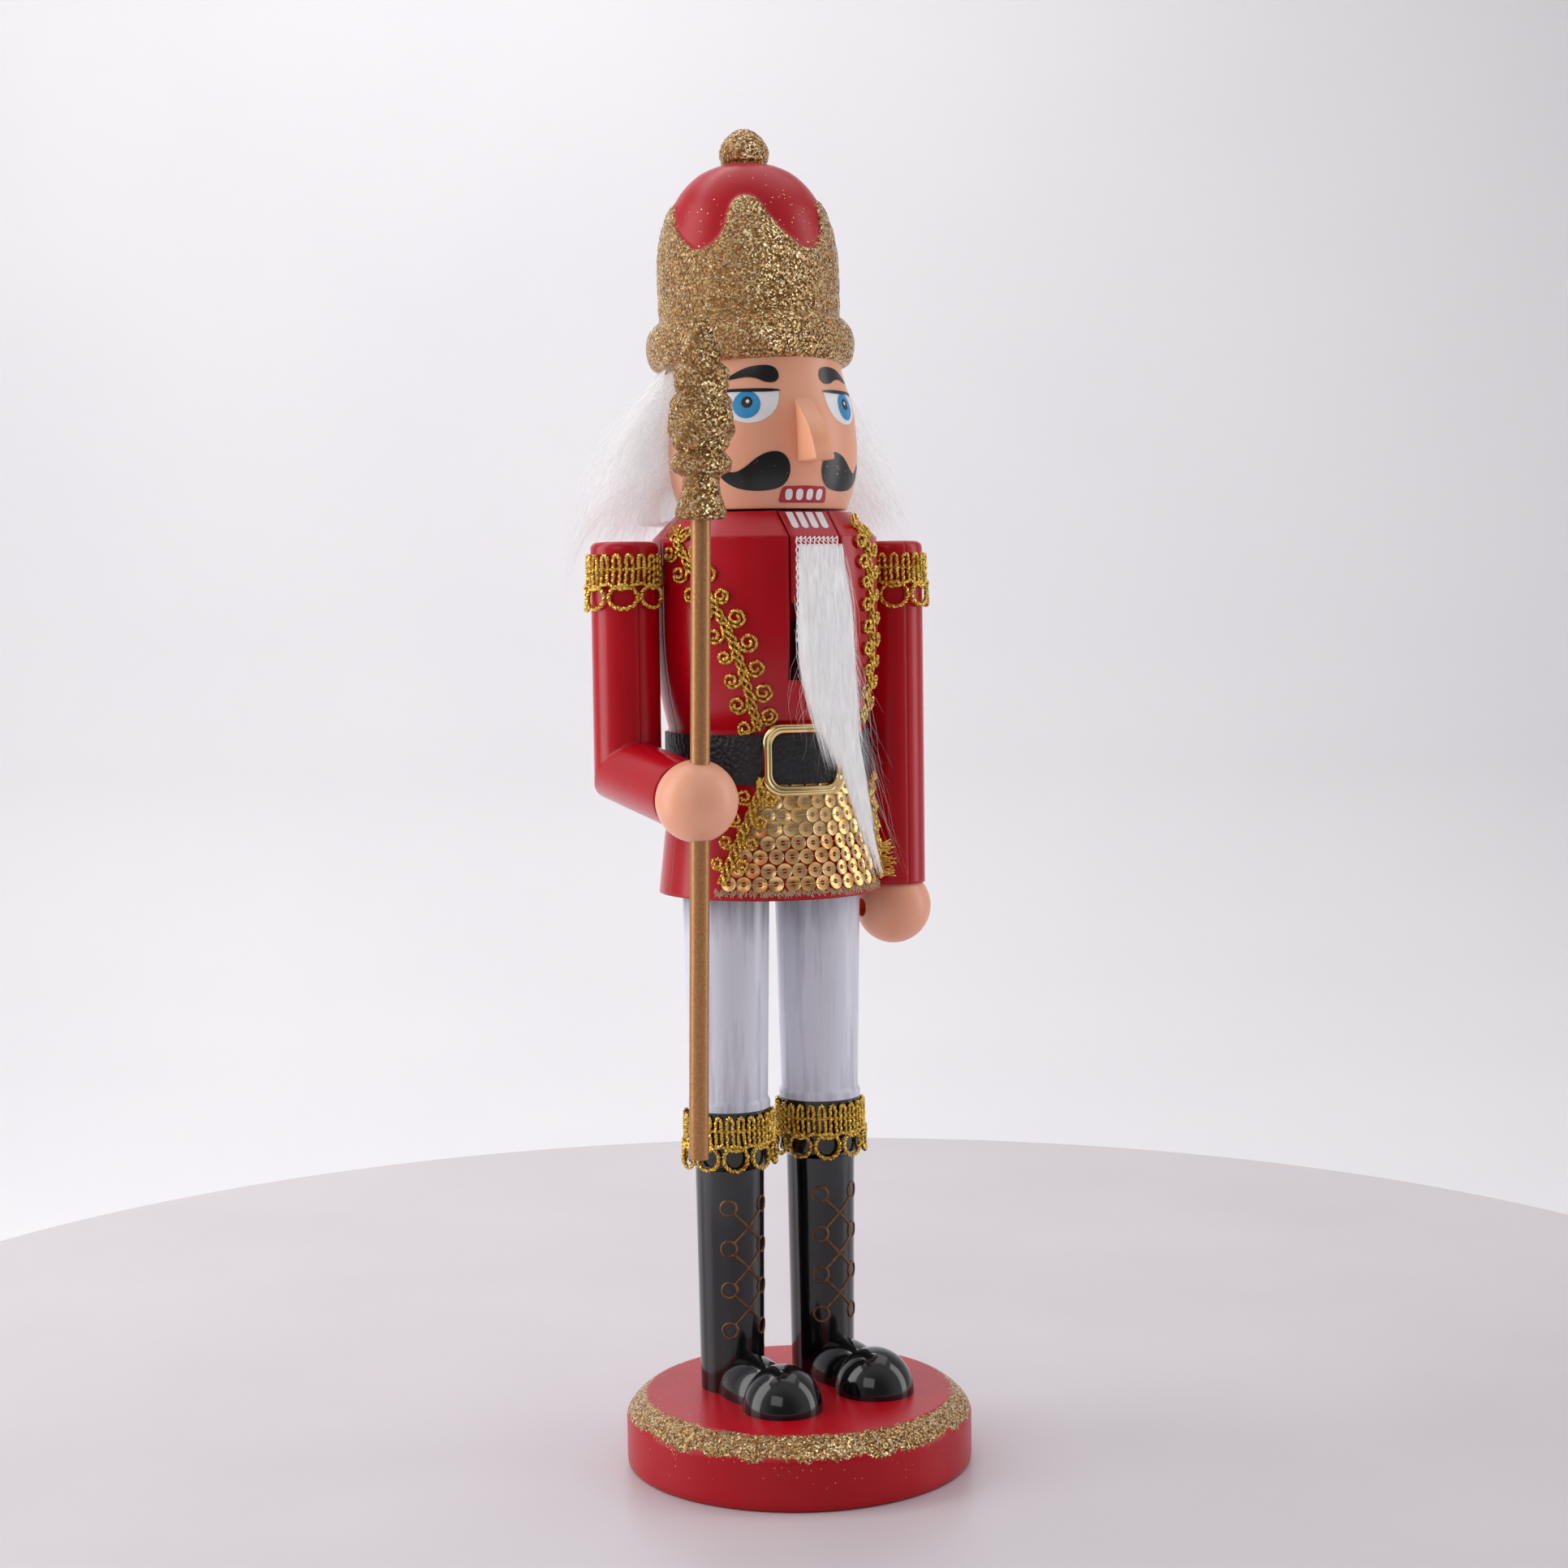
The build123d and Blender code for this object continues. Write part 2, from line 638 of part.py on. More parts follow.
def knee_trim(side):
    low = cuff_z + knee_trim_low
    inner = cuff_r + 0.05
    return legs_at * Pos(side * leg_apart, 0, 0) * ring(inner, inner + trim_thick, low, low + trim_height)


def epaulette(side):
    high = arm_top_z - epaulette_drop
    inner = arm_r + 0.05
    band_ring = ring(inner, inner + trim_thick, high - trim_height, high)
    middle = (epaulette_from + epaulette_to) / 2
    half = (epaulette_to - epaulette_from) / 2
    return Pos(side * arm_x, arm_y, 0) * sector(band_ring, -90.0 + side * middle, half)


def save(name, shape):
    export_step(shape, os.path.join("parts", name + ".step"))


os.makedirs("parts", exist_ok=True)
save("base_shell", base_shell())
save("base_plate", base_plate())
save("leg_screws", leg_screws())
save("hip_plate", hip_plate())
for name, side in (("right", -1), ("left", 1)):
    save(name + "_leg_front", leg_half(side, True))
    save(name + "_leg_back", leg_half(side, False))
    save(name + "_shoe", shoe(side))
    save(name + "_arm_outer", arm_half(side, True))
    save(name + "_arm_inner", arm_half(side, False))
    save(name + "_hand", hand(side))
    save(name + "_shoulder_pin", shoulder_pin(side))
    save(name + "_knee_trim", knee_trim(side))
    save(name + "_epaulette", epaulette(side))
    save(name + "_chest_braid", chest_braid(side))
    save(name + "_apron_braid", apron_braid(side))
coat_shell = coat()
save("coat_front", front_half(coat_shell, body_back))
save("coat_back", back_half(coat_shell, body_back))
save("neck_peg", neck_peg())
save("jaw_lever", jaw_lever())
save("jaw_pin", jaw_pin())
save("beard_tape", beard_tape())
save("beard", beard())
head_shell = head()
save("head_front", front_half(head_shell, body_back))
save("head_back", back_half(head_shell, body_back))
save("nose", nose())
save("hat_shell", hat_shell())
save("hat_peg", hat_peg())
save("hat_finial", hat_finial())
save("hair", hair())
save("staff_rod", staff_rod())
save("staff_head", staff_head())
save("belt", belt())
save("buckle", buckle())
save("apron", apron())
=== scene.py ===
import json
import math
import random

import bmesh
import bpy
from mathutils import Matrix, Vector, noise


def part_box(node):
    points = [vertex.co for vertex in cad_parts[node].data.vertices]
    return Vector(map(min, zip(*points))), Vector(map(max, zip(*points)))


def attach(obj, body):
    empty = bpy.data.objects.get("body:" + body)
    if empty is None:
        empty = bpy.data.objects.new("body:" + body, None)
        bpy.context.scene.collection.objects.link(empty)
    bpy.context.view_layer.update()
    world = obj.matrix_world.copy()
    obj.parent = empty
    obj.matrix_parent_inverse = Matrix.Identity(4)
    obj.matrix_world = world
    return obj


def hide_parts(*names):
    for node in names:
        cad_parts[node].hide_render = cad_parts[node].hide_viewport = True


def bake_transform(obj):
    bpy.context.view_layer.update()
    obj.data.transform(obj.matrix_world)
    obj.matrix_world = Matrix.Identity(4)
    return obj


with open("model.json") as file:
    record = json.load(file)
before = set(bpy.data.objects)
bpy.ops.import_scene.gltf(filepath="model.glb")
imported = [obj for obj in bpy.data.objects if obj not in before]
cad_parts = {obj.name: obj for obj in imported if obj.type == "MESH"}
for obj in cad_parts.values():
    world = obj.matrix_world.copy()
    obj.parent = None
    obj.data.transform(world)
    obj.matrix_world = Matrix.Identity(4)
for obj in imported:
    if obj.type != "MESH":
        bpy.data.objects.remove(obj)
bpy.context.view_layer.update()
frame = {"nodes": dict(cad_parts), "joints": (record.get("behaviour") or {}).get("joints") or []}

mm = 0.001
rng = random.Random(7)


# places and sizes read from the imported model, in mm
def span(*nodes):
    boxes = [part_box(node) for node in nodes]
    low = [min(b[0][i] for b in boxes) / mm for i in range(3)]
    high = [max(b[1][i] for b in boxes) / mm for i in range(3)]
    return low, high


def middle(*nodes):
    low, high = span(*nodes)
    return [(a + b) / 2 for a, b in zip(low, high)]


axisX, axisY = middle("coat_front", "coat_back")[:2]
hemZ = span("coat_front")[0][2]
coatTop = span("coat_front")[1][2]
headLow = span("head_front")[0][2]
beltLow, beltHigh = span("belt")[0][2], span("belt")[1][2]
brimLow = coatTop + 34.8
joints = {joint["name"]: joint for joint in frame["joints"]}


# mesh helpers: everything is drawn in mm and stored in metres
def smoothShade(mesh, angle=38.0):
    bm = bmesh.new()
    bm.from_mesh(mesh)
    for edge in bm.edges:
        edge.smooth = len(edge.link_faces) != 2 or edge.calc_face_angle(0.0) < math.radians(angle)
    for face in bm.faces:
        face.smooth = True
    bm.to_mesh(mesh)
    bm.free()


def addPiece(name, mesh, material, body, replaced=(), angle=38.0):
    smoothShade(mesh, angle)
    piece = bpy.data.objects.new(name, mesh)
    bpy.context.collection.objects.link(piece)
    mesh.materials.clear()
    mesh.materials.append(material)
    if body:
        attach(piece, body)
    if replaced:
        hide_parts(*replaced)
    return piece


def meshOf(name, points, faces):
    mesh = bpy.data.meshes.new(name)
    mesh.from_pydata([(p[0] * mm, p[1] * mm, p[2] * mm) for p in points], [], faces)
    mesh.update()
    return mesh


def grid(name, place, rows, columns, closed):
    points = [place(i, j) for i in range(rows) for j in range(columns)]
    faces = []
    for i in range(rows - 1):
        for j in range(columns if closed else columns - 1):
            k = (j + 1) % columns
            faces.append((i * columns + j, i * columns + k, (i + 1) * columns + k, (i + 1) * columns + j))
    return meshOf(name, points, faces)


def through(points, count):
    # a smooth line of count points through the given ones, evenly spaced
    ends = [points[0]] + list(points) + [points[-1]]
    fine = []
    for a, b, c, d in zip(ends, ends[1:], ends[2:], ends[3:]):
        for step in range(24):
            t = step / 24
            fine.append(tuple(0.5 * (2 * q + (r - p) * t + (2 * p - 5 * q + 4 * r - s) * t * t
                                     + (3 * q - p - 3 * r + s) * t ** 3) for p, q, r, s in zip(a, b, c, d)))
    fine.append(tuple(points[-1]))
    return evenly(fine, count)


def evenly(points, count):
    total = [0.0]
    for a, b in zip(points, points[1:]):
        total.append(total[-1] + math.dist(a, b))
    out, k = [], 0
    for i in range(count):
        at = total[-1] * i / (count - 1)
        while k < len(total) - 2 and total[k + 1] < at:
            k += 1
        part = (at - total[k]) / max(total[k + 1] - total[k], 1e-9)
        out.append(tuple(p + (q - p) * part for p, q in zip(points[k], points[k + 1])))
    return out


def lookup(table, x):
    # value between the rows of a table of (x, value)
    if x <= table[0][0]:
        return table[0][1]
    for (xa, va), (xb, vb) in zip(table, table[1:]):
        if x <= xb:
            return va + (vb - va) * (x - xa) / (xb - xa)
    return table[-1][1]


def lathe(name, profile, columns=160, centre=(0, 0, 0), turn=None, bump=None):
    turn = turn or Matrix.Identity(3)

    def place(i, j):
        r, z = profile[i]
        angle = 2 * math.pi * j / columns
        if bump:
            r = max(r + bump(angle, z), 0.0)
        return Vector(centre) + turn @ Vector((r * math.cos(angle), r * math.sin(angle), z))
    mesh = grid(name, place, len(profile), columns, True)
    bm = bmesh.new()
    bm.from_mesh(mesh)
    bmesh.ops.remove_doubles(bm, verts=bm.verts, dist=1e-6)
    bmesh.ops.recalc_face_normals(bm, faces=bm.faces)
    bm.to_mesh(mesh)
    bm.free()
    return mesh


def tubes(name, lines, radius, sides=1):
    # round threads along many lines at once
    curve = bpy.data.curves.new(name, "CURVE")
    curve.dimensions = "3D"
    curve.bevel_depth = radius * mm
    curve.bevel_resolution = sides
    curve.use_fill_caps = True
    for line in lines:
        spline = curve.splines.new("POLY")
        spline.points.add(len(line) - 1)
        for point, at in zip(spline.points, line):
            point.co = (at[0] * mm, at[1] * mm, at[2] * mm, 1.0)
    holder = bpy.data.objects.new(name + "Line", curve)
    mesh = bpy.data.meshes.new_from_object(holder)
    bpy.data.objects.remove(holder)
    bpy.data.curves.remove(curve)
    return mesh


def plied(line, ply, pitch, step=0.22, plies=2):
    # a cord's plies twisted round a line
    length = sum(math.dist(a, b) for a, b in zip(line, line[1:]))
    points = [Vector(p) for p in evenly(line, max(int(length / step), 4))]
    side = Vector((0.3, 0.5, 0.8))
    out = [[] for _ in range(plies)]
    for i, point in enumerate(points):
        ahead = points[min(i + 1, len(points) - 1)] - points[max(i - 1, 0)]
        ahead.normalize()
        side = (side - ahead * side.dot(ahead)).normalized()
        other = ahead.cross(side)
        for k in range(plies):
            angle = 2 * math.pi * (i * length / len(points) / pitch + k / plies)
            out[k].append(point + (side * math.cos(angle) + other * math.sin(angle)) * ply)
    return out


def ribbons(name, strands):
    # flat tapering hairs: each strand is (points, half width, side)
    points, faces = [], []
    for line, half, side in strands:
        start = len(points)
        last = len(line) - 1
        for i, at in enumerate(line):
            wide = half * (1.0 - 0.85 * (i / last) ** 2)
            points.append((at[0] - side[0] * wide, at[1] - side[1] * wide, at[2] - side[2] * wide))
            points.append((at[0] + side[0] * wide, at[1] + side[1] * wide, at[2] + side[2] * wide))
        for i in range(last):
            k = start + 2 * i
            faces.append((k, k + 1, k + 3, k + 2))
    return meshOf(name, points, faces)


# material helpers
def linear(code):
    parts = [int(code[i:i + 2], 16) / 255 for i in (1, 3, 5)]
    return [*(c / 12.92 if c <= 0.04045 else ((c + 0.055) / 1.055) ** 2.4 for c in parts), 1.0]


def addNode(tree, kind, inputs=None, **settings):
    node = tree.nodes.new("ShaderNode" + kind)
    for key, value in settings.items():
        setattr(node, key, value)
    for key, value in (inputs or {}).items():
        if isinstance(value, bpy.types.NodeSocket):
            tree.links.new(value, node.inputs[key])
        else:
            node.inputs[key].default_value = value
    return node


def newMaterial(name, color, roughness, **inputs):
    material = bpy.data.materials.new(name)
    material.use_nodes = True
    tree = material.node_tree
    shader = tree.nodes["Principled BSDF"]
    shader.inputs["Base Color"].default_value = linear(color)
    shader.inputs["Roughness"].default_value = roughness
    for key, value in inputs.items():
        shader.inputs[key].default_value = value
    return material, tree, shader


def objectPoint(tree):
    return addNode(tree, "TexCoord").outputs["Object"]


def blotches(tree, point, size, low, high, detail=3.0):
    # soft variation between two values, spots about size mm across
    spots = addNode(tree, "TexNoise", {"Vector": point, "Scale": 1000.0 / size, "Detail": detail})
    return addNode(tree, "MapRange", {"Value": spots.outputs["Fac"], "From Min": 0.3, "From Max": 0.7,
                                      "To Min": low, "To Max": high}).outputs["Result"]


def tint(tree, shader, point, size, colorA, colorB):
    mix = addNode(tree, "Mix", {"Factor": blotches(tree, point, size, 0.0, 1.0)}, data_type="RGBA")
    mix.inputs["A"].default_value = linear(colorA)
    mix.inputs["B"].default_value = linear(colorB)
    colors = [s for s in mix.inputs if s.type == "RGBA"]
    colors[0].default_value, colors[1].default_value = linear(colorA), linear(colorB)
    out = [s for s in mix.outputs if s.type == "RGBA"][0]
    tree.links.new(out, shader.inputs["Base Color"])
    return out


def bumpFrom(tree, shader, height, depth):
    bump = addNode(tree, "Bump", {"Height": height, "Distance": depth * mm, "Strength": 1.0})
    tree.links.new(bump.outputs["Normal"], shader.inputs["Normal"])
    return bump


def mixColor(tree, factor, colorA, colorB):
    mix = addNode(tree, "Mix", data_type="RGBA")
    colors = [s for s in mix.inputs if s.type == "RGBA"]
    if isinstance(factor, bpy.types.NodeSocket):
        tree.links.new(factor, mix.inputs[0])
    for socket, color in zip(colors, (colorA, colorB)):
        if isinstance(color, bpy.types.NodeSocket):
            tree.links.new(color, socket)
        else:
            socket.default_value = linear(color)
    return [s for s in mix.outputs if s.type == "RGBA"][0]


def glitterShader(tree, flake, glue="#6C4628", bare=0.3):
    # loose foil flakes in clear glue: each cell has its own colour and tilt
    point = objectPoint(tree)
    cells = addNode(tree, "TexVoronoi", {"Vector": point, "Scale": 1000.0 / flake, "Randomness": 1.0})
    shade = addNode(tree, "SeparateColor", {"Color": cells.outputs["Color"]})
    ramp = addNode(tree, "ValToRGB", {"Fac": shade.outputs["Red"]})
    stops = ramp.color_ramp.elements
    stops[0].position, stops[0].color = 0.0, linear(glue)
    stops[1].position, stops[1].color = 1.0, linear("#FFF2CC")
    for place, code in ((bare, "#8E6034"), (bare * 0.45 + 0.5, "#CA9A5C"), (0.84, "#FAE4AC")):
        stops.new(place).color = linear(code)
    tilt = addNode(tree, "VectorMath", {0: cells.outputs["Color"], 1: (0.5, 0.5, 0.5)},
                   operation="SUBTRACT")
    more = addNode(tree, "VectorMath", {0: tilt.outputs[0], "Scale": 1.7}, operation="SCALE")
    clumps = addNode(tree, "TexNoise", {"Vector": point, "Scale": 900.0, "Detail": 3.0})
    bump = addNode(tree, "Bump", {"Height": clumps.outputs["Fac"], "Distance": 0.35 * mm})
    facing = addNode(tree, "VectorMath", {0: bump.outputs["Normal"], 1: more.outputs[0]}, operation="ADD")
    unit = addNode(tree, "VectorMath", {0: facing.outputs[0]}, operation="NORMALIZE")
    return addNode(tree, "BsdfPrincipled", {"Base Color": ramp.outputs["Color"], "Metallic": 0.75,
                                            "Roughness": 0.32, "Normal": unit.outputs[0]})


def redShader(tree, shader):
    point = objectPoint(tree)
    tint(tree, shader, point, 14.0, "#B20216", "#BC051C")
    waves = blotches(tree, point, 9.0, 0.0, 1.0, 1.0)
    bump = bumpFrom(tree, shader, waves, 0.02)
    edges = addNode(tree, "Bevel", {"Radius": 1.1 * mm})
    edges.samples = 6
    tree.links.new(edges.outputs["Normal"], bump.inputs["Normal"])


# injection moulded red plastic, polished mould, slight sink waves
redPlastic, tree, shader = newMaterial("redPlastic", "#B4041A", 0.22, **{"Specular IOR Level": 0.38})
redShader(tree, shader)

# the same plastic where glitter glue was brushed on by hand; the piece stores how deep
# each point is in the glue
redGlitter, tree, shader = newMaterial("redPlasticWithGlitter", "#B4041A", 0.32,
                                       **{"Specular IOR Level": 0.32})
redShader(tree, shader)
flakes = glitterShader(tree, 0.36)
depth = addNode(tree, "Attribute", attribute_name="glueDepth").outputs["Fac"]
rag = addNode(tree, "TexNoise", {"Vector": objectPoint(tree), "Scale": 900.0, "Detail": 4.0,
                                 "Roughness": 0.7})
edge = addNode(tree, "MapRange", {"Value": rag.outputs["Fac"], "From Min": 0.3, "From Max": 0.7,
                                  "To Min": -0.8, "To Max": 0.8})
inGlue = addNode(tree, "Math", {0: depth, 1: edge.outputs["Result"]}, operation="ADD")
isGlue = addNode(tree, "Math", {0: inGlue.outputs[0], 1: 0.0}, operation="GREATER_THAN")
both = addNode(tree, "MixShader", {0: isGlue.outputs[0], 1: shader.outputs[0], 2: flakes.outputs[0]})
tree.links.new(both.outputs[0], tree.nodes["Material Output"].inputs["Surface"])

# gold glitter all over
glitter, tree, shader = newMaterial("goldGlitter", "#B8923C", 0.3)
tree.links.new(glitterShader(tree, 0.36).outputs[0], tree.nodes["Material Output"].inputs["Surface"])

# bronze casting with glitter dabbed over it, so more of the bronze shows
bronzeGlitter, tree, shader = newMaterial("bronzeWithGlitter", "#7A5C30", 0.3)
tree.links.new(glitterShader(tree, 0.4, "#6E4E24", 0.42).outputs[0],
               tree.nodes["Material Output"].inputs["Surface"])

# single foil flecks strayed from the glue
fleckFoil, tree, shader = newMaterial("strayFoil", "#E8C878", 0.25, Metallic=1.0)
tint(tree, shader, objectPoint(tree), 2.0, "#C49A4C", "#F6E0A0")

# flesh coloured plastic, satin, a little light goes in
skin, tree, shader = newMaterial("skinPlastic", "#EFA686", 0.34,
                                 **{"Subsurface Weight": 0.2, "Subsurface Scale": 0.004})
tint(tree, shader, objectPoint(tree), 18.0, "#F4AC8A", "#F8B494")
bumpFrom(tree, shader, blotches(tree, objectPoint(tree), 7.0, 0.0, 1.0, 1.0), 0.015)

nosePlastic, tree, shader = newMaterial("noseWedgePlastic", "#F2AA84", 0.36,
                                        **{"Subsurface Weight": 0.15, "Subsurface Scale": 0.004})
tint(tree, shader, objectPoint(tree), 6.0, "#F4AA80", "#F8B894")

# pad printed inks
blackInk, tree, shader = newMaterial("blackInk", "#0A0A0C", 0.28)
tint(tree, shader, objectPoint(tree), 3.0, "#08080A", "#101014")
whiteInk, tree, shader = newMaterial("whiteInk", "#F2F0F2", 0.35)
tint(tree, shader, objectPoint(tree), 3.0, "#ECEAEE", "#F6F4F6")
blueInk, tree, shader = newMaterial("blueInk", "#1E8FC8", 0.3)
tint(tree, shader, objectPoint(tree), 2.0, "#1A86C0", "#2A9AD2")
redInk, tree, shader = newMaterial("redInk", "#CC0C28", 0.3)
tint(tree, shader, objectPoint(tree), 3.0, "#B0061A", "#C00C24")

# boots moulded in black, trousers brushed over in thin white paint
legPaint, tree, shader = newMaterial("legsPaintedOverBlack", "#0B0B0D", 0.16,
                                     **{"Coat Weight": 0.3, "Coat Roughness": 0.05})
point = objectPoint(tree)
height = addNode(tree, "SeparateXYZ", {0: point}).outputs["Z"]
streakAt = addNode(tree, "Mapping", {"Vector": point, "Scale": (1.0, 1.0, 0.07)}).outputs[0]
streaks = addNode(tree, "TexNoise", {"Vector": streakAt, "Scale": 420.0, "Detail": 4.0,
                                     "Roughness": 0.6}).outputs["Fac"]
nearHem = addNode(tree, "MapRange", {"Value": height, "From Min": (hemZ - 11.0) * mm,
                                     "From Max": (hemZ + 1.0) * mm,
                                     "To Min": 0.0, "To Max": 0.42}).outputs["Result"]
nearKnee = addNode(tree, "MapRange", {"Value": height, "From Min": 92.0 * mm, "From Max": 80.0 * mm,
                                      "To Min": 0.0, "To Max": 0.16}).outputs["Result"]
thin = addNode(tree, "Math", {0: nearHem, 1: nearKnee}, operation="ADD").outputs[0]
worn = addNode(tree, "Math", {0: streaks, 1: thin}, operation="ADD").outputs[0]
showing = addNode(tree, "MapRange", {"Value": worn, "From Min": 0.52, "From Max": 0.98, "To Min": 0.0,
                                     "To Max": 0.75})
paint = mixColor(tree, showing.outputs["Result"], "#E2E4F0", "#6A6E80")
paintEdge = addNode(tree, "Math", {0: height, 1: 82.0 * mm}, operation="GREATER_THAN").outputs[0]
tree.links.new(mixColor(tree, paintEdge, "#0B0B0D", paint), shader.inputs["Base Color"])
gloss = addNode(tree, "MapRange", {"Value": paintEdge, "To Min": 0.14, "To Max": 0.36}).outputs["Result"]
tree.links.new(gloss, shader.inputs["Roughness"])
bumpFrom(tree, shader, streaks, 0.03)

# black boot plastic, high gloss
bootBlack, tree, shader = newMaterial("bootPlastic", "#0B0B0D", 0.12,
                                      **{"Coat Weight": 0.3, "Coat Roughness": 0.05})
tint(tree, shader, objectPoint(tree), 9.0, "#09090B", "#0E0E11")
bumpFrom(tree, shader, blotches(tree, objectPoint(tree), 6.0, 0.0, 1.0, 1.0), 0.02)

# bronze paint in the pressed laces, and on the staff's rod
bronze, tree, shader = newMaterial("bronzePaint", "#A87848", 0.38, Metallic=0.75)
tint(tree, shader, objectPoint(tree), 0.6, "#A87446", "#BA8A5C")
bumpFrom(tree, shader, blotches(tree, objectPoint(tree), 0.5, 0.0, 1.0), 0.012)
laceInk, tree, shader = newMaterial("laceBronze", "#6E4A2C", 0.4, Metallic=0.5)
tint(tree, shader, objectPoint(tree), 1.2, "#5A3A22", "#8A5E38")

# black leatherette with a fine pebble grain
leather, tree, shader = newMaterial("beltLeatherette", "#121214", 0.48)
point = objectPoint(tree)
tint(tree, shader, point, 4.0, "#121214", "#202024")
pebbles = addNode(tree, "TexVoronoi", {"Vector": point, "Scale": 1150.0},
                  feature="SMOOTH_F1").outputs["Distance"]
bumpFrom(tree, shader, pebbles, 0.42)

# polished gold plated buckle
buckleGold, tree, shader = newMaterial("platedBuckle", "#F0D69A", 0.08, Metallic=1.0)
tint(tree, shader, objectPoint(tree), 5.0, "#ECD090", "#F6DEA8")

# metallic gimp cord, wrapped with foil
gimpGold, tree, shader = newMaterial("metallicGimp", "#D9AE3C", 0.26, Metallic=1.0)
point = objectPoint(tree)
tint(tree, shader, point, 0.6, "#C0922C", "#FFE07C")
wraps = addNode(tree, "TexNoise", {"Vector": point, "Scale": 6000.0, "Detail": 2.0}).outputs["Fac"]
bumpFrom(tree, shader, wraps, 0.06)

# punched foil sequins
sequinFoil, tree, shader = newMaterial("sequinFoil", "#F2C27A", 0.24, Metallic=0.85)
tint(tree, shader, objectPoint(tree), 3.4, "#E2AC5E", "#FCD698")

# beige net that carries the sequins
netCloth, tree, shader = newMaterial("beigeNet", "#DCC29E", 0.8, **{"Sheen Weight": 0.3})
point = objectPoint(tree)
tint(tree, shader, point, 1.6, "#CDAE86", "#E8D2B0")
holes = addNode(tree, "TexVoronoi", {"Vector": point, "Scale": 1500.0},
                feature="DISTANCE_TO_EDGE").outputs["Distance"]
solid = addNode(tree, "MapRange", {"Value": holes, "From Min": 0.02, "From Max": 0.12, "To Min": 1.0,
                                   "To Max": 0.8})
tree.links.new(solid.outputs["Result"], shader.inputs["Alpha"])

# white synthetic fur; its emission is a painted glow that makes it shine without a lamp
fur, tree, shader = newMaterial("whiteFurPaintedGlow", "#F9F8F8", 0.6, **{"Sheen Weight": 0.2,
                                                               "Emission Strength": 0.16})
streaks = addNode(tree, "VectorMath", {0: objectPoint(tree), 1: (1.0, 1.0, 0.07)}, operation="MULTIPLY")
tint(tree, shader, streaks.outputs[0], 0.5, "#E0DCDE", "#FFFFFF")
# colour of the painted glow
shader.inputs["Emission Color"].default_value = linear("#F9F9FA")
glow = addNode(tree, "BsdfTranslucent", {"Color": linear("#FAFAFA")})
furMix = addNode(tree, "MixShader", {0: 0.38, 1: shader.outputs[0], 2: glow.outputs[0]})
tree.links.new(furMix.outputs[0], tree.nodes["Material Output"].inputs["Surface"])

# zinc plated screws and pins, and raw moulded plastic out of sight
steel, tree, shader = newMaterial("zincPlatedSteel", "#B8B8BC", 0.3, Metallic=1.0)
tint(tree, shader, objectPoint(tree), 2.0, "#A8A8AC", "#C6C6CA")
rawPlastic, tree, shader = newMaterial("rawPlastic", "#BDB7A8", 0.5)
tint(tree, shader, objectPoint(tree), 6.0, "#B4AE9E", "#C6C0B0")
darkPlate, tree, shader = newMaterial("basePlatePlastic", "#8A1420", 0.5)
tint(tree, shader, objectPoint(tree), 8.0, "#80101C", "#941826")
print("materials made")

# CAD nodes that stay as they are
finishes = {
    "base_plate": darkPlate, "leg_screws": steel, "hip_plate": rawPlastic, "neck_peg": rawPlastic,
    "hat_peg": rawPlastic, "jaw_pin": steel, "right_shoulder_pin": rawPlastic,
    "left_shoulder_pin": rawPlastic,
    "coat_front": redPlastic, "coat_back": redPlastic, "jaw_lever": redPlastic,
    "right_arm_outer": redPlastic, "right_arm_inner": redPlastic, "left_arm_outer": redPlastic,
    "left_arm_inner": redPlastic, "right_hand": skin, "left_hand": skin, "staff_rod": bronze,
    "right_leg_front": legPaint, "right_leg_back": legPaint, "left_leg_front": legPaint,
    "left_leg_back": legPaint, "right_shoe": bootBlack, "left_shoe": bootBlack, "belt": leather,
}
for node, material in finishes.items():
    for held in frame["nodes"][node].material_slots:
        held.material = material

# camera a little to the figure's right, just above its belt
cameraSetup = {"azimuth": -27.0, "distance": 608.3, "height": 200.1, "pitch": 4.063, "yaw": 0.152,
               "roll": -0.758,
               "lens": 61.12}
azimuth = math.radians(cameraSetup["azimuth"])
right = Vector((math.cos(azimuth), math.sin(azimuth), 0.0))
forward = Vector((-math.sin(azimuth), math.cos(azimuth), 0.0))
yaw = math.radians(cameraSetup["yaw"])
right, forward = (right * math.cos(yaw) + forward * math.sin(yaw), forward * math.cos(yaw)
                  - right * math.sin(yaw))
eye = Vector((math.sin(azimuth), -math.cos(azimuth), 0.0)) * cameraSetup["distance"]
eye.z = cameraSetup["height"]
pitch = math.radians(cameraSetup["pitch"])
look = forward * math.cos(pitch) - Vector((0, 0, 1)) * math.sin(pitch)
up = forward * math.sin(pitch) + Vector((0, 0, 1)) * math.cos(pitch)
roll = math.radians(cameraSetup["roll"])
right, up = right * math.cos(roll) + up * math.sin(roll), up * math.cos(roll) - right * math.sin(roll)
lens = bpy.data.cameras.new("mainCamera")
lens.lens = cameraSetup["lens"]
lens.sensor_width = 36.0
lens.clip_start = 0.01
camera = bpy.data.objects.new("mainCamera", lens)
bpy.context.collection.objects.link(camera)
turn = Matrix((right, up, -look)).transposed().to_4x4()
camera.matrix_world = Matrix.Translation(eye * mm) @ turn
bpy.context.scene.camera = camera

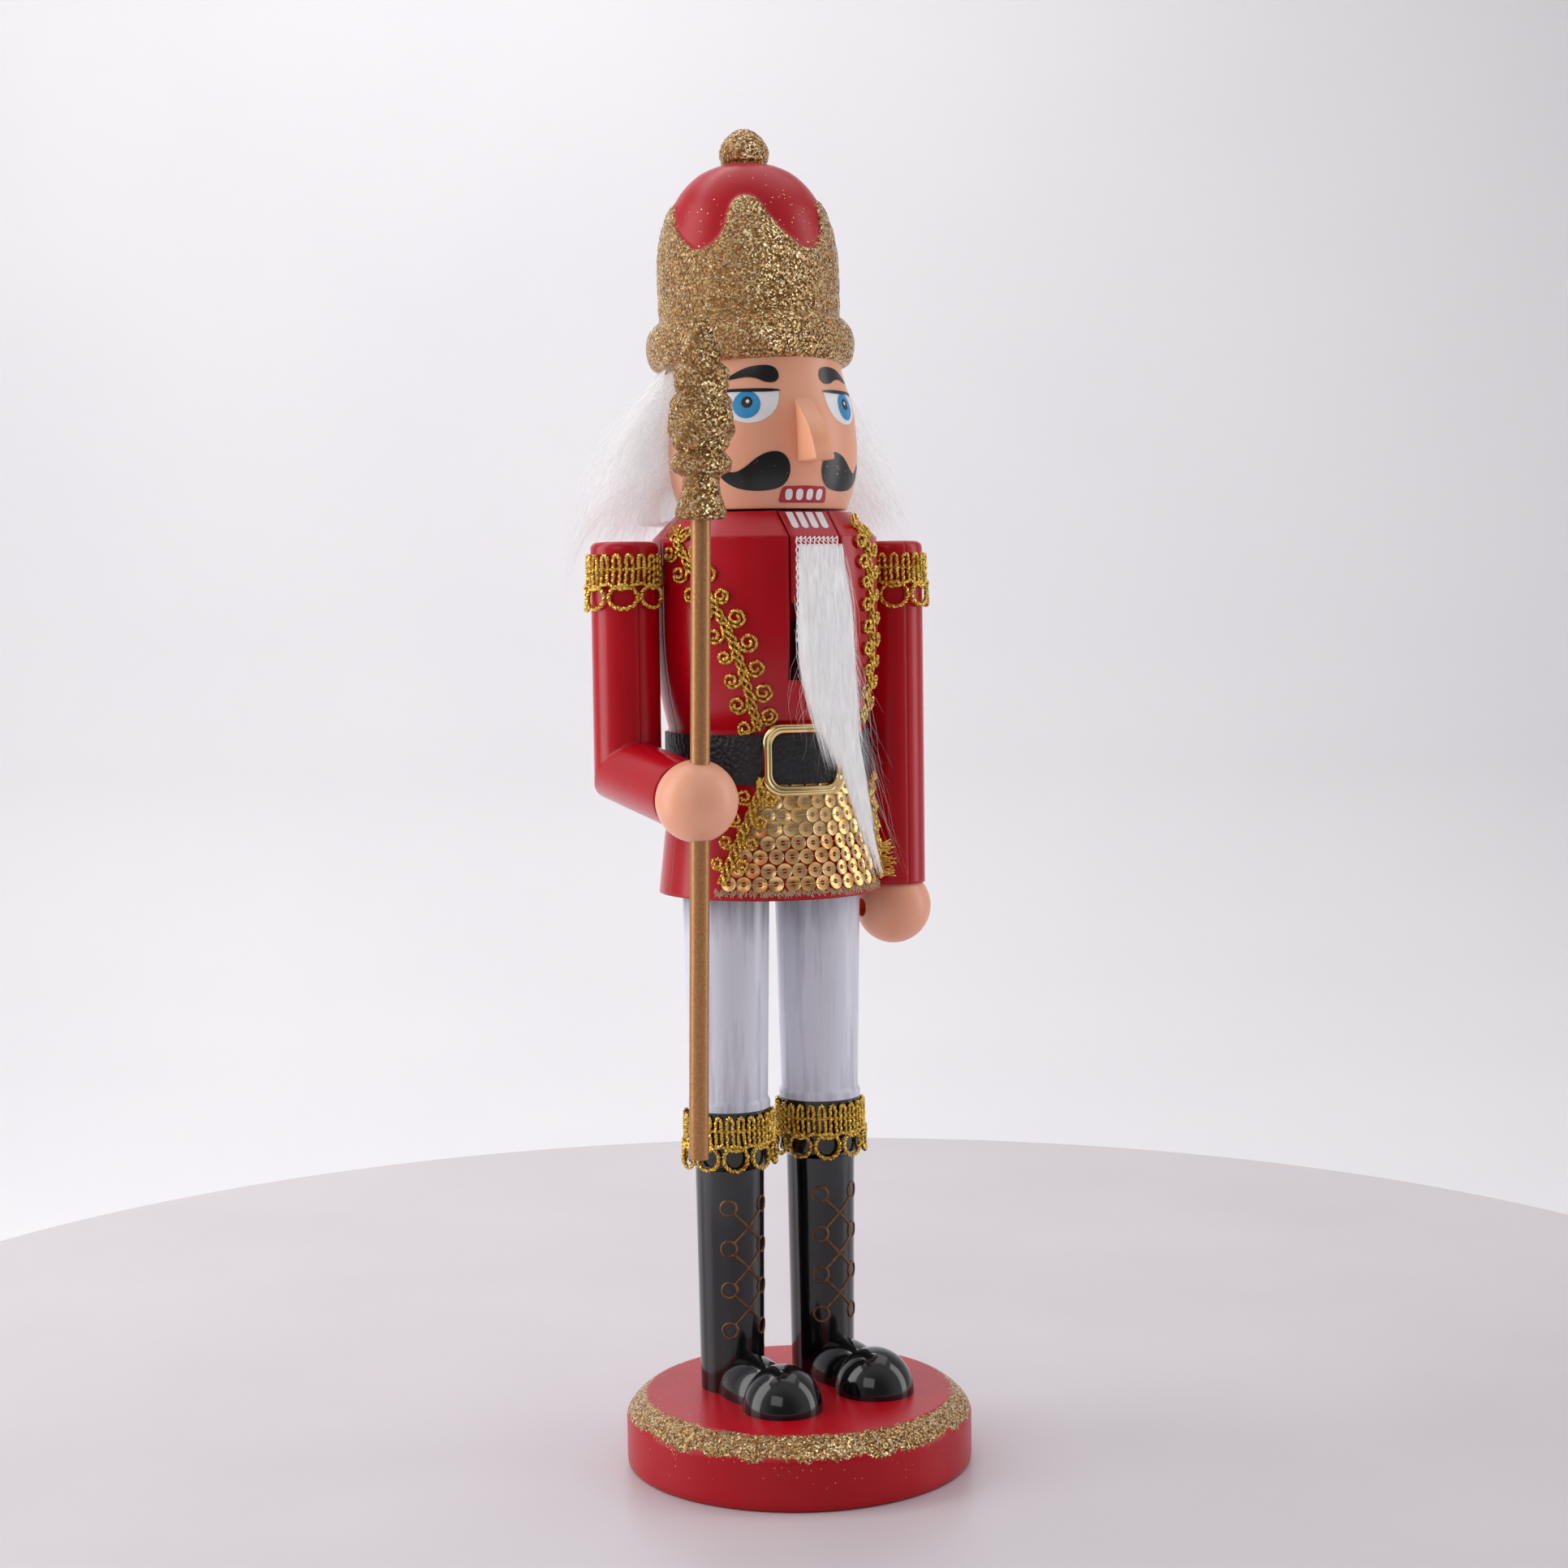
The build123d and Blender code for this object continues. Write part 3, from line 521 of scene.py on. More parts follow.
# round white table in front of a pale sweep
stage = {"tableRadius": 292.0, "tableBehind": 72.0}
tableAt = forward * stage["tableBehind"]
tableWhite, tree, shader = newMaterial("tableLaminate", "#D3CCD0", 0.34)
tint(tree, shader, objectPoint(tree), 90.0, "#D0C9CD", "#D6CFD3")
sweepPaper, tree, shader = newMaterial("sweepPaper", "#F4F2F4", 0.9)
tint(tree, shader, objectPoint(tree), 300.0, "#F1EFF2", "#F6F4F6")
tableMesh = lathe("tableTop", [(0.0, 0.0), (stage["tableRadius"] - 1.0, 0.0), (stage["tableRadius"], -1.0),
                               (stage["tableRadius"], -12.0), (0.0, -12.0)], 256,
                               (tableAt.x, tableAt.y, -0.02))
smoothShade(tableMesh)
tableTop = bpy.data.objects.new("tableTop", tableMesh)
tableMesh.materials.append(tableWhite)
bpy.context.collection.objects.link(tableTop)
backLine = through([(-1500.0, -60.0), (0.0, -60.0), (620.0, -60.0), (820.0, 30.0), (900.0, 300.0),
                    (900.0, 1900.0)], 60)
sweepMesh = grid("sweep", lambda i, j: Vector((right.x, right.y, 0.0)) * ((j / 24 - 0.5) * 5200.0)
                 + forward * backLine[i][0] + Vector((0, 0, backLine[i][1])), 60, 25, False)
smoothShade(sweepMesh)
sweep = bpy.data.objects.new("sweep", sweepMesh)
sweepMesh.materials.append(sweepPaper)
bpy.context.collection.objects.link(sweep)


def softbox(name, place, target, size, power, color="#FFFFFF"):
    light = bpy.data.lights.new(name, "AREA")
    light.shape = "RECTANGLE"
    light.size, light.size_y = size[0] * mm, size[1] * mm
    light.energy = power
    light.color = linear(color)[:3]
    lamp = bpy.data.objects.new(name, light)
    bpy.context.collection.objects.link(lamp)
    at = (right * place[0] + forward * place[1])
    at = Vector((at.x, at.y, place[2])) * mm
    lamp.location = at
    lamp.rotation_euler = (Vector(target) * mm - at).to_track_quat("-Z", "Y").to_euler()


lamps = {"leftPower": 2.9, "rightPower": 1.7, "topPower": 2.0, "backPower": 2.6, "frontPower": 1.5,
         "ambient": 0.6, "roomSide": 0.16}
softbox("leftSoftbox", (-700.0, -60.0, 380.0), (0, 0, 150), (420, 900), lamps["leftPower"])
softbox("rightSoftbox", (760.0, 60.0, 360.0), (0, 0, 150), (300, 900), lamps["rightPower"])
softbox("topSoftbox", (0.0, 250.0, 1000.0), (0, 0, 100), (1100, 700), lamps["topPower"])
softbox("backdropLight", (-300.0, 350.0, 900.0), (-250 * right.x, 900, 300), (900, 300), lamps["backPower"])
softbox("frontSoftbox", (-420.0, -1000.0, 620.0), (0, 0, 170), (700, 500), lamps["frontPower"])
world = bpy.data.worlds.new("studio")
bpy.context.scene.world = world
world.use_nodes = True
# a white tent, with the darker room behind its opening
tree = world.node_tree
sky = addNode(tree, "TexCoord").outputs["Generated"]
behind = addNode(tree, "VectorMath", {0: sky, 1: tuple(-look)}, operation="DOT_PRODUCT").outputs["Value"]
dim = addNode(tree, "MapRange", {"Value": behind, "From Min": 0.45, "From Max": 0.9,
                                 "To Min": lamps["ambient"],
                                 "To Max": lamps["roomSide"]}).outputs["Result"]
tree.nodes["Background"].inputs["Color"].default_value = linear("#F6F4F8")
tree.links.new(dim, tree.nodes["Background"].inputs["Strength"])
bpy.context.scene.view_settings.view_transform = "Standard"
print("stage made")


def setDepth(mesh, values):
    mark = mesh.attributes.new("glueDepth", "FLOAT", "POINT")
    mark.data.foreach_set("value", values)


# base: moulded drum with a rounded shoulder, glitter brushed round its edge
baseSize = {"radius": span("base_shell")[1][0], "height": span("base_shell")[1][2], "glueFrom": 35.4,
            "glueDown": 11.6}
r, h = baseSize["radius"], baseSize["height"]
baseProfile = [(0.0, h), (10.0, h), (20.0, h), (30.0, h)] + [(30.0 + 0.3 * i, h) for i in range(1, 17)]
baseProfile += through([(34.9, h), (35.6, h - 0.15), (37.6, h - 1.5), (39.3, h - 3.4), (r - 0.03, h - 4.9),
                        (r, h - 5.6)], 24)
baseProfile += [(r, h - 5.8 - 0.4 * i) for i in range(22)] + [(r - 0.1, 0.7), (r - 0.6, 0.1),
                                                              (r - 1.4, 0.0), (37.9, 0.0), (37.9, 1.5)]
baseMesh = lathe("baseDrum", baseProfile, 256)
depths = []
for vertex in baseMesh.vertices:
    x, y, z = (c / mm for c in vertex.co)
    ring = math.hypot(x, y)
    wobble = 1.4 * noise.noise(Vector((x, y, z)) * 0.16) + 0.5 * noise.noise(Vector((x, y, z)) * 0.6)
    depths.append(min(ring - baseSize["glueFrom"] + wobble * 0.5, z - baseSize["glueDown"] + wobble) - 0.05)
setDepth(baseMesh, depths)
addPiece("baseDrum", baseMesh, redGlitter, "figure", ("base_shell",))
print("base made")

# hat: one moulding with five raised points, leaning a little back
hatLean = math.radians(-2.5)
hatTurn = Matrix.Rotation(hatLean, 3, "X")
hatAt = (-0.8, axisY + 4.0, brimLow)
hatSize = {"points": 5, "facing": -27.0, "relief": 0.75}
crownEdge = [(0, 35.6), (4, 35.5), (8, 34.8), (12, 33.2), (16, 31.0), (22, 28.4), (29, 26.0), (36, 24.2),
             (42, 23.7), (48, 24.2), (54, 25.8), (58, 28.0), (60, 31.0), (62, 33.6), (65, 35.0), (69, 35.6),
             (72, 35.6)]
hatProfile = through([(18.0, -1.3), (21.4, -1.4), (23.2, -0.2), (24.0, 2.6), (24.0, 4.8), (23.3, 7.1),
                      (22.0, 8.7), (20.9, 9.5), (20.45, 10.6), (20.3, 14.0), (20.3, 18.0), (20.3, 22.2),
                      (20.0, 26.0), (19.0, 30.8), (17.3, 35.4), (14.6, 39.6), (11.2, 42.8), (7.6, 44.6),
                      (5.0, 45.2), (2.5, 45.3), (0.0, 45.3)], 170)


def crownDepth(angle, z):
    # how far a point is below the crown's edge, mm; angle is measured from the camera side
    turned = (math.degrees(angle) + 90.0 - hatSize["facing"]) % 360.0
    index, within = divmod(turned, 360.0 / hatSize["points"])
    level = lookup(crownEdge, within) + 0.5 * math.sin(index * 2.4)
    return level - z


def crownRelief(angle, z):
    inside = min(max(crownDepth(angle, z) / 0.8 + 0.5, 0.0), 1.0) * min(max((z - 7.0) / 6.0, 0.25), 1.0)
    rough = 0.2 * noise.noise(Vector((math.cos(angle) * 9, math.sin(angle) * 9, z * 0.5)))
    return hatSize["relief"] * inside * inside * (3 - 2 * inside) + rough * inside


hatMesh = lathe("hatBell", hatProfile, 300, hatAt, hatTurn, crownRelief)
back = hatTurn.inverted()
depths = []
for vertex in hatMesh.vertices:
    x, y, z = back @ (vertex.co / mm - Vector(hatAt))
    depths.append(min(crownDepth(math.atan2(y, x), z), z * 1.3 + 2.4
                      + 0.4 * noise.noise(Vector((x, y, z)) * 0.5)))
setDepth(hatMesh, depths)
addPiece("hatBell", hatMesh, redGlitter, "figure", ("hat_shell",))
knobProfile = through([(0.0, 44.9), (4.6, 45.0), (4.9, 45.7), (5.4, 46.1), (5.75, 47.4), (5.7, 48.8),
                       (4.9, 50.8), (3.4, 52.5), (1.6, 53.6), (0.0, 54.0)], 60)
knobMesh = lathe("hatKnob", knobProfile, 96, hatAt, hatTurn,
                 lambda a, z: 0.22 * noise.noise(Vector((math.cos(a) * 4, math.sin(a) * 4, z))))
addPiece("hatKnob", knobMesh, glitter, "figure", ("hat_finial",))
print("hat made")

# head: a barrel, printed face, glued nose
headTable = through([(19.2, headLow), (19.6, headLow + 0.9), (21.3, headLow + 6.8), (21.8, headLow + 13.9),
                     (21.3, headLow + 21.0), (20.6, headLow + 24.5), (19.5, headLow + 28.0),
                     (18.4, headLow + 32.0), (17.9, headLow + 36.5)], 70)
headRadius = [(z, r) for r, z in headTable]
headTurn = 0.6
headMesh = lathe("headBarrel", [(0.0, headLow), (12.0, headLow), (18.6, headLow)] + headTable, 200,
                 (axisX, axisY, 0.0))
addPiece("headBarrel", headMesh, skin, "figure", ("head_front", "head_back"))


def onHead(phi, z, lift):
    # phi in degrees from straight ahead, towards the figure's left
    r = lookup(headRadius, z) + lift
    angle = math.radians(phi + headTurn)
    return (axisX + r * math.sin(angle), axisY - r * math.cos(angle), z)


def patch(loop, lift, place=onHead, steps=(2.0, 0.7)):
    # a flat outline cut into small cells and laid on a curved surface
    bm = bmesh.new()
    corners = [bm.verts.new((p[0], p[1], 0.0)) for p in loop]
    bm.faces.new(corners)
    for axis, step in enumerate(steps):
        low, high = min(p[axis] for p in loop), max(p[axis] for p in loop)
        normal = (1, 0, 0) if axis == 0 else (0, 1, 0)
        at = low + step
        while at < high:
            where = (at, 0, 0) if axis == 0 else (0, at, 0)
            bmesh.ops.bisect_plane(bm, geom=bm.verts[:] + bm.edges[:] + bm.faces[:], plane_co=where,
                                   plane_no=normal)
            at += step
    bmesh.ops.triangulate(bm, faces=bm.faces)
    bm.normal_update()
    bm.verts.index_update()
    if sum(face.normal.z * face.calc_area() for face in bm.faces) < 0:
        bmesh.ops.reverse_faces(bm, faces=bm.faces)
    points = [place(v.co.x, v.co.y, lift) for v in bm.verts]
    faces = [tuple(v.index for v in face.verts) for face in bm.faces]
    bm.free()
    return points, faces


def joined(name, parts):
    points, faces = [], []
    for somePoints, someFaces in parts:
        start = len(points)
        points += somePoints
        faces += [tuple(i + start for i in face) for face in someFaces]
    return meshOf(name, points, faces)


def closedLoop(controls, count):
    around = controls[-2:] + controls + controls[:2]
    fine = through(around, count * 3)
    start = min(range(len(fine) // 3), key=lambda i: math.dist(fine[i], controls[0]))
    end = min(range(2 * len(fine) // 3, len(fine)), key=lambda i: math.dist(fine[i], controls[0]))
    return evenly(fine[start:end + 1], count + 1)[:-1]


def disc(phi, z, radius, flat=1.0, count=36):
    # a circle of radius mm on the head, as an outline in degrees and mm
    wide = math.degrees(radius / 20.9)
    return [(phi + wide * math.cos(2 * math.pi * i / count), z
             + radius * flat * math.sin(2 * math.pi * i / count))
            for i in range(count)]


lidZ = headLow + 26.3
whites, blacks, blues, reds, glints, rims = [], [], [], [], [], []
for side in (-1, 1):
    eye = [(16.4, lidZ)] + [(34.8 + 18.4 * math.cos(t), lidZ - 7.3 * math.sin(t) ** 0.8)
                            for t in [math.pi - math.pi * i / 30 for i in range(1, 30)]] + [(53.2, lidZ)]
    whites.append(patch([(side * p, z) for p, z in eye], 0.05))
    blues.append(patch([(side * p, z) for p, z in disc(36.7, lidZ - 3.2, 3.15, 0.98)], 0.11))
    rims.append(patch([(side * p, z) for p, z in disc(36.4, lidZ - 2.7, 1.3)], 0.14))
    glints.append(patch([(side * p, z) for p, z in disc(36.0, lidZ - 2.5, 0.42, count=14)], 0.17))
    lid = [(15.2, lidZ - 0.1), (24.0, lidZ - 0.35), (36.0, lidZ - 0.35), (48.0, lidZ - 0.3),
           (54.6, lidZ - 0.5),
           (52.0, lidZ + 0.25), (40.0, lidZ + 0.4), (26.0, lidZ + 0.4), (18.0, lidZ + 0.25)]
    blacks.append(patch([(side * p, z) for p, z in closedLoop(lid, 60)], 0.2))
    brow = [(15.6, headLow + 29.9), (17.4, headLow + 31.2), (22.0, headLow + 31.9), (30.0, headLow + 31.9),
            (38.0, headLow + 31.4), (46.0, headLow + 30.2), (53.0, headLow + 28.7), (46.0, headLow + 28.9),
            (38.0, headLow + 29.3), (31.0, headLow + 29.0), (25.0, headLow + 28.2), (19.5, headLow + 28.1),
            (16.4, headLow + 28.8)]
    blacks.append(patch([(side * p, z) for p, z in closedLoop(brow, 80)], 0.16))
    lip = [(10.6, headLow + 8.6), (12.0, headLow + 10.9), (16.5, headLow + 12.4), (23.0, headLow + 12.5),
           (30.0, headLow + 11.4), (37.0, headLow + 9.4), (44.0, headLow + 8.1), (50.0, headLow + 8.6),
           (54.5, headLow + 10.4), (56.2, headLow + 10.0), (54.0, headLow + 7.4), (49.0, headLow + 5.6),
           (42.0, headLow + 4.4), (33.0, headLow + 3.9), (24.0, headLow + 4.0), (16.5, headLow + 4.7),
           (12.2, headLow + 6.3)]
    blacks.append(patch([(side * p, z) for p, z in closedLoop(lip, 110)], 0.16))
mouthLow, mouthHigh = headLow + 1.3, headLow + 4.9
reds.append(patch(closedLoop([(-16.6, mouthLow), (-8.0, mouthLow - 0.1), (0.0, mouthLow - 0.1),
                              (8.0, mouthLow - 0.1), (16.6, mouthLow), (17.0, mouthLow + 1.0),
                              (14.8, mouthHigh - 0.3), (8.0, mouthHigh), (0.0, mouthHigh + 0.1),
                              (-8.0, mouthHigh), (-14.8, mouthHigh - 0.3), (-17.0, mouthLow + 1.0)], 80),
                              0.1))
for index in range(4):
    phi = (index - 1.5) * 7.2
    tooth = [(phi + 2.4 * math.copysign(abs(math.cos(t)) ** 0.7, math.cos(t)),
              mouthLow + 1.75 + 1.25 * math.copysign(abs(math.sin(t)) ** 0.8, math.sin(t)))
             for t in [2 * math.pi * i / 24 for i in range(24)]]
    whites.append(patch(tooth, 0.16))
for name, parts, ink in (("eyeWhitesAndTeeth", whites, whiteInk), ("browsAndMoustache", blacks, blackInk),
                         ("irises", blues, blueInk), ("pupils", rims, blackInk),
                         ("eyeGlints", glints, whiteInk),
                         ("mouth", reds, redInk)):
    addPiece(name, joined(name, parts), ink, "figure", angle=180.0)

noseLow = span("nose")[0]
noseSize = {"width": 4.8, "tall": 15.0}
faceY = axisY - 21.2
tipY = noseLow[1]
ridge = through([(faceY + 1.4, noseLow[2] + noseSize["tall"]), (faceY - 1.2, noseLow[2] + 12.6),
                 (tipY + 3.6, noseLow[2] + 7.6),
                 (tipY + 0.7, noseLow[2] + 2.0), (tipY + 0.2, noseLow[2] + 0.2)], 16)
outline = ridge + [(faceY + 2.4, noseLow[2]), (faceY + 2.4, noseLow[2] + noseSize["tall"])]
bm = bmesh.new()
corners = [bm.verts.new((-noseSize["width"] / 2 * mm, y * mm, z * mm)) for y, z in outline]
cheek = bm.faces.new(corners)
pushed = bmesh.ops.extrude_face_region(bm, geom=[cheek])
bmesh.ops.translate(bm, vec=(noseSize["width"] * mm, 0, 0),
                    verts=[v for v in pushed["geom"] if isinstance(v, bmesh.types.BMVert)])
bmesh.ops.recalc_face_normals(bm, faces=bm.faces)
sharp = [e for e in bm.edges if len(e.link_faces) == 2 and e.calc_face_angle(0.0) > 0.7]
bmesh.ops.bevel(bm, geom=sharp, offset=0.55 * mm, segments=4, profile=0.5, affect="EDGES", material=-1)
turnHead = Matrix.Translation((axisX * mm, axisY * mm, 0)) @ Matrix.Rotation(math.radians(headTurn), 4,
                                                                             "Z") \
    @ Matrix.Translation((-axisX * mm, -axisY * mm, 0))
bm.transform(turnHead)
noseMesh = bpy.data.meshes.new("noseWedge")
bm.to_mesh(noseMesh)
bm.free()
addPiece("noseWedge", noseMesh, nosePlastic, "figure", ("nose",))

# four teeth painted on the jaw's sloping front
jawLow, jawHigh = span("jaw_lever")


def onJaw(x, along, lift):
    # along runs from the jaw's top edge down its 45 degree slope
    step = along * math.sqrt(0.5)
    return (x, jawLow[1] + 5.8 - step - lift * 0.7, jawHigh[2] - step + lift * 0.7)


teeth = []
for index in range(4):
    x = (index - 1.5) * 2.5
    shape = [(x - 0.88, 0.3), (x + 0.88, 0.3)] + [(x + 0.85 * math.cos(t), 4.7 + 0.85 * math.sin(t))
                                                  for t in [math.pi * i / 10 for i in range(11)]]
    teeth.append(patch(shape, 0.08, onJaw, (0.6, 1.2)))
addPiece("jawTeeth", joined("jawTeeth", teeth), whiteInk, "jaw", angle=180.0)
print("face made")

# staff head: turned cone, cast with bumps, glittered
staffAxis = Vector(joints["staff_slide"]["axis"])
rodMiddle = Vector(middle("staff_rod"))
staffTurn = Vector((0, 0, 1)).rotation_difference(staffAxis).to_matrix()
coneLow = span("staff_head")[0][2]
coneFoot = rodMiddle + staffAxis * ((coneLow - rodMiddle.z) / staffAxis.z)
coneProfile = through([(0.0, 0.0), (3.8, 0.0), (5.3, 0.5), (5.5, 1.6), (4.9, 3.6), (4.2, 6.0), (4.0, 8.0),
                       (4.3, 9.2), (6.2, 10.4), (6.6, 12.0), (6.0, 13.4), (5.3, 14.4), (6.1, 15.8),
                       (6.9, 18.6), (7.0, 22.0), (6.3, 25.0), (5.5, 26.6), (6.0, 28.6), (5.6, 31.4),
                       (4.3, 33.4), (4.5, 35.4), (3.9, 37.4), (2.6, 38.8), (2.7, 40.2), (2.1, 41.8),
                       (1.2, 43.0), (0.0, 43.5)], 170)


def coneBumps(angle, z):
    rough = 0.2 * noise.noise(Vector((math.cos(angle) * 2.4, math.sin(angle) * 2.4, z * 0.6)))
    if z < 14.0:
        return rough * 0.5
    knobs = abs(math.sin(3 * angle + z * 0.5)) * abs(math.sin(3 * angle - z * 0.5))
    return (rough + 0.75 * knobs - 0.4) * min(1.0, (44.0 - z) / 8.0)


coneMesh = lathe("staffCone", coneProfile, 150, coneFoot, staffTurn, coneBumps)
addPiece("staffCone", coneMesh, bronzeGlitter, "staff", ("staff_head",))
print("staff made")

# orange liner in the left hand's bore: a painted glow standing in for light soaking through the plastic
borePaintedGlow, tree, shader = newMaterial("boreWallPaintedGlow", "#E84A1C", 0.4,
                                    **{"Subsurface Weight": 0.4, "Subsurface Scale": 0.003})
tint(tree, shader, objectPoint(tree), 2.0, "#E0421A", "#F05A24")
handMiddle = [joints["left_shoulder"]["pos_m"][0] / mm, joints["left_shoulder"]["pos_m"][1] / mm,
              span("left_hand")[0][2] + 9.0]
sideways = Matrix.Rotation(math.radians(90.0), 3, "Y")
boreMesh = lathe("handBorePaintedGlow", [(2.19, -8.62), (2.1, -8.3), (2.1, 0.0), (2.1, 8.3), (2.19, 8.62)], 48,
                 handMiddle, sideways)
addPiece("handBorePaintedGlow", boreMesh, borePaintedGlow, "left_arm")

# laces pressed in the boots and picked out in bronze
kneeBox = {side: middle(side + "_knee_trim") for side in ("right", "left")}
laceSize = {"rows": (31.0, 40.5, 50.2, 59.7), "ring": 1.75, "angle": 34.0, "legsTurn": 5.0}
for side in ("right", "left"):
    cx, cy = kneeBox[side][:2]

    def onBoot(phi, z):
        r = 7.4 + 0.6 * (z - 16.0) / 52.0 + 0.02
        angle = math.radians(phi + laceSize["legsTurn"])
        return (cx + r * math.sin(angle), cy - r * math.cos(angle), z)
    lines = []
    for z in laceSize["rows"]:
        for way in (-1, 1):
            wide = math.degrees(laceSize["ring"] / 7.7)
            lines.append([onBoot(way * laceSize["angle"] + wide * math.cos(t), z
                                 + laceSize["ring"] * math.sin(t))
                          for t in [2 * math.pi * i / 28 for i in range(29)]])
    for low, high in zip(laceSize["rows"], laceSize["rows"][1:]):
        for way in (-1, 1):
            start, stop = way * (laceSize["angle"] - 9.0), -way * (laceSize["angle"] - 9.0)
            lines.append([onBoot(start + (stop - start) * i / 20, low + 1.3 + (high - low - 2.6) * i / 20)
                          for i in range(21)])
    addPiece(side + "Laces", tubes(side + "Laces", lines, 0.3, 1), laceInk, "figure")
print("boots made")


# gimp braid, drawn flat as (along, down, out) in mm and wrapped on
def gimpLines(length):
    pitch, verticals = 6.4, 5
    count = max(round(length / pitch), 1)
    pitch = length / count
    gap = pitch / verticals
    serpentine, loops, bars = [], [], []
    half = gap / 2
    for k in range(count * verticals):
        u = (k + 0.5) * gap
        foot = 6.4 + 1.1 * math.sin(math.pi * ((k % verticals) + 0.5) / verticals)
        rise = 0.45 if k % 2 == 0 else foot + 0.3
        wobble = rng.uniform(-0.12, 0.12)
        if k % 2 == 0:
            serpentine += [(u - half * 0.9, foot, 0.5), (u - half + wobble, 4.0, 0.6),
                           (u - half * 0.9, 1.2, 0.5)]
            serpentine += [(u, rise, 0.5), (u + half * 0.9, 1.2, 0.5), (u + half + wobble, 4.0, 0.6)]
        else:
            serpentine += [(u - half * 0.6, foot, 0.5), (u, rise, 0.5)]
    for k in range(count):
        u = (k + 0.5) * pitch
        wide = pitch * 0.42 * rng.uniform(0.94, 1.06)
        tall = 2.7 * rng.uniform(0.92, 1.08)
        loops.append([(u + wide * math.sin(t), 9.9 - tall * math.cos(t), 0.75 + 0.25 * math.sin(t * 0.5))
                      for t in [-0.35 + (2 * math.pi + 0.7) * i / 30 for i in range(31)]])
    bars.append([(length * i / 60, 7.5 - 0.6 * math.cos(2 * math.pi * count * i / 60), 1.0)
                 for i in range(61)])
    bars.append([(length * i / 60, 3.6 + 0.15 * math.sin(9.0 * i), 0.2) for i in range(61)])
    return through(serpentine, len(serpentine) * 4), loops, bars


def wrapTrim(name, centre, radius, start, stop, side, top, body, replaced):
    length = math.radians(stop - start) * (radius + 0.6)
    serpentine, loops, bars = gimpLines(length)

    def wrap(line):
        out = []
        for u, v, w in line:
            angle = math.radians(start) + u / (radius + 0.6)
            r = radius + 0.15 + w
            out.append((centre[0] + side * r * math.sin(angle), centre[1] - r * math.cos(angle), top - v))
        return out
    lines = plied(wrap(serpentine), 0.24, 1.2, 0.26)
    for loop in loops:
        lines += plied(wrap(loop), 0.3, 1.5, 0.26)
    for bar in bars:
        lines += plied(wrap(bar), 0.24, 1.1, 0.3)
    addPiece(name, tubes(name, lines, 0.29, 0), gimpGold, body, replaced, angle=70.0)


for side, way in (("right", -1), ("left", 1)):
    shoulder = joints[side + "_shoulder"]["pos_m"]
    at = (shoulder[0] / mm, shoulder[1] / mm)
    top = span(side + "_epaulette")[1][2]
    wrapTrim(side + "EpauletteGimp", at, 7.7, -47.0, 149.0, way, top, side + "_arm", (side + "_epaulette",))
    kneeTop = span(side + "_knee_trim")[1][2]
    wrapTrim(side + "KneeGimp", kneeBox[side][:2], 9.6, 0.0, 360.0, 1, kneeTop, "figure",
             (side + "_knee_trim",))
print("gimp trims made")

chestR = span("coat_front")[1][0]
waistR = chestR - 3.1
coatRadius = [(hemZ, chestR - 0.8), (hemZ + 24.0, waistR), (hemZ + 38.2, waistR),
              (hemZ + 42.0, chestR - 2.2),
              (hemZ + 47.0, chestR - 1.2), (hemZ + 53.0, chestR - 0.4), (hemZ + 60.0, chestR),
              (coatTop - 5.8, chestR), (coatTop, chestR - 5.8)]


def onCoat(phi, z, out):
    # phi in degrees from straight ahead, towards the figure's left
    r = lookup(coatRadius, z) + out
    angle = math.radians(phi)
    return (axisX + r * math.sin(angle), axisY - r * math.cos(angle), z)


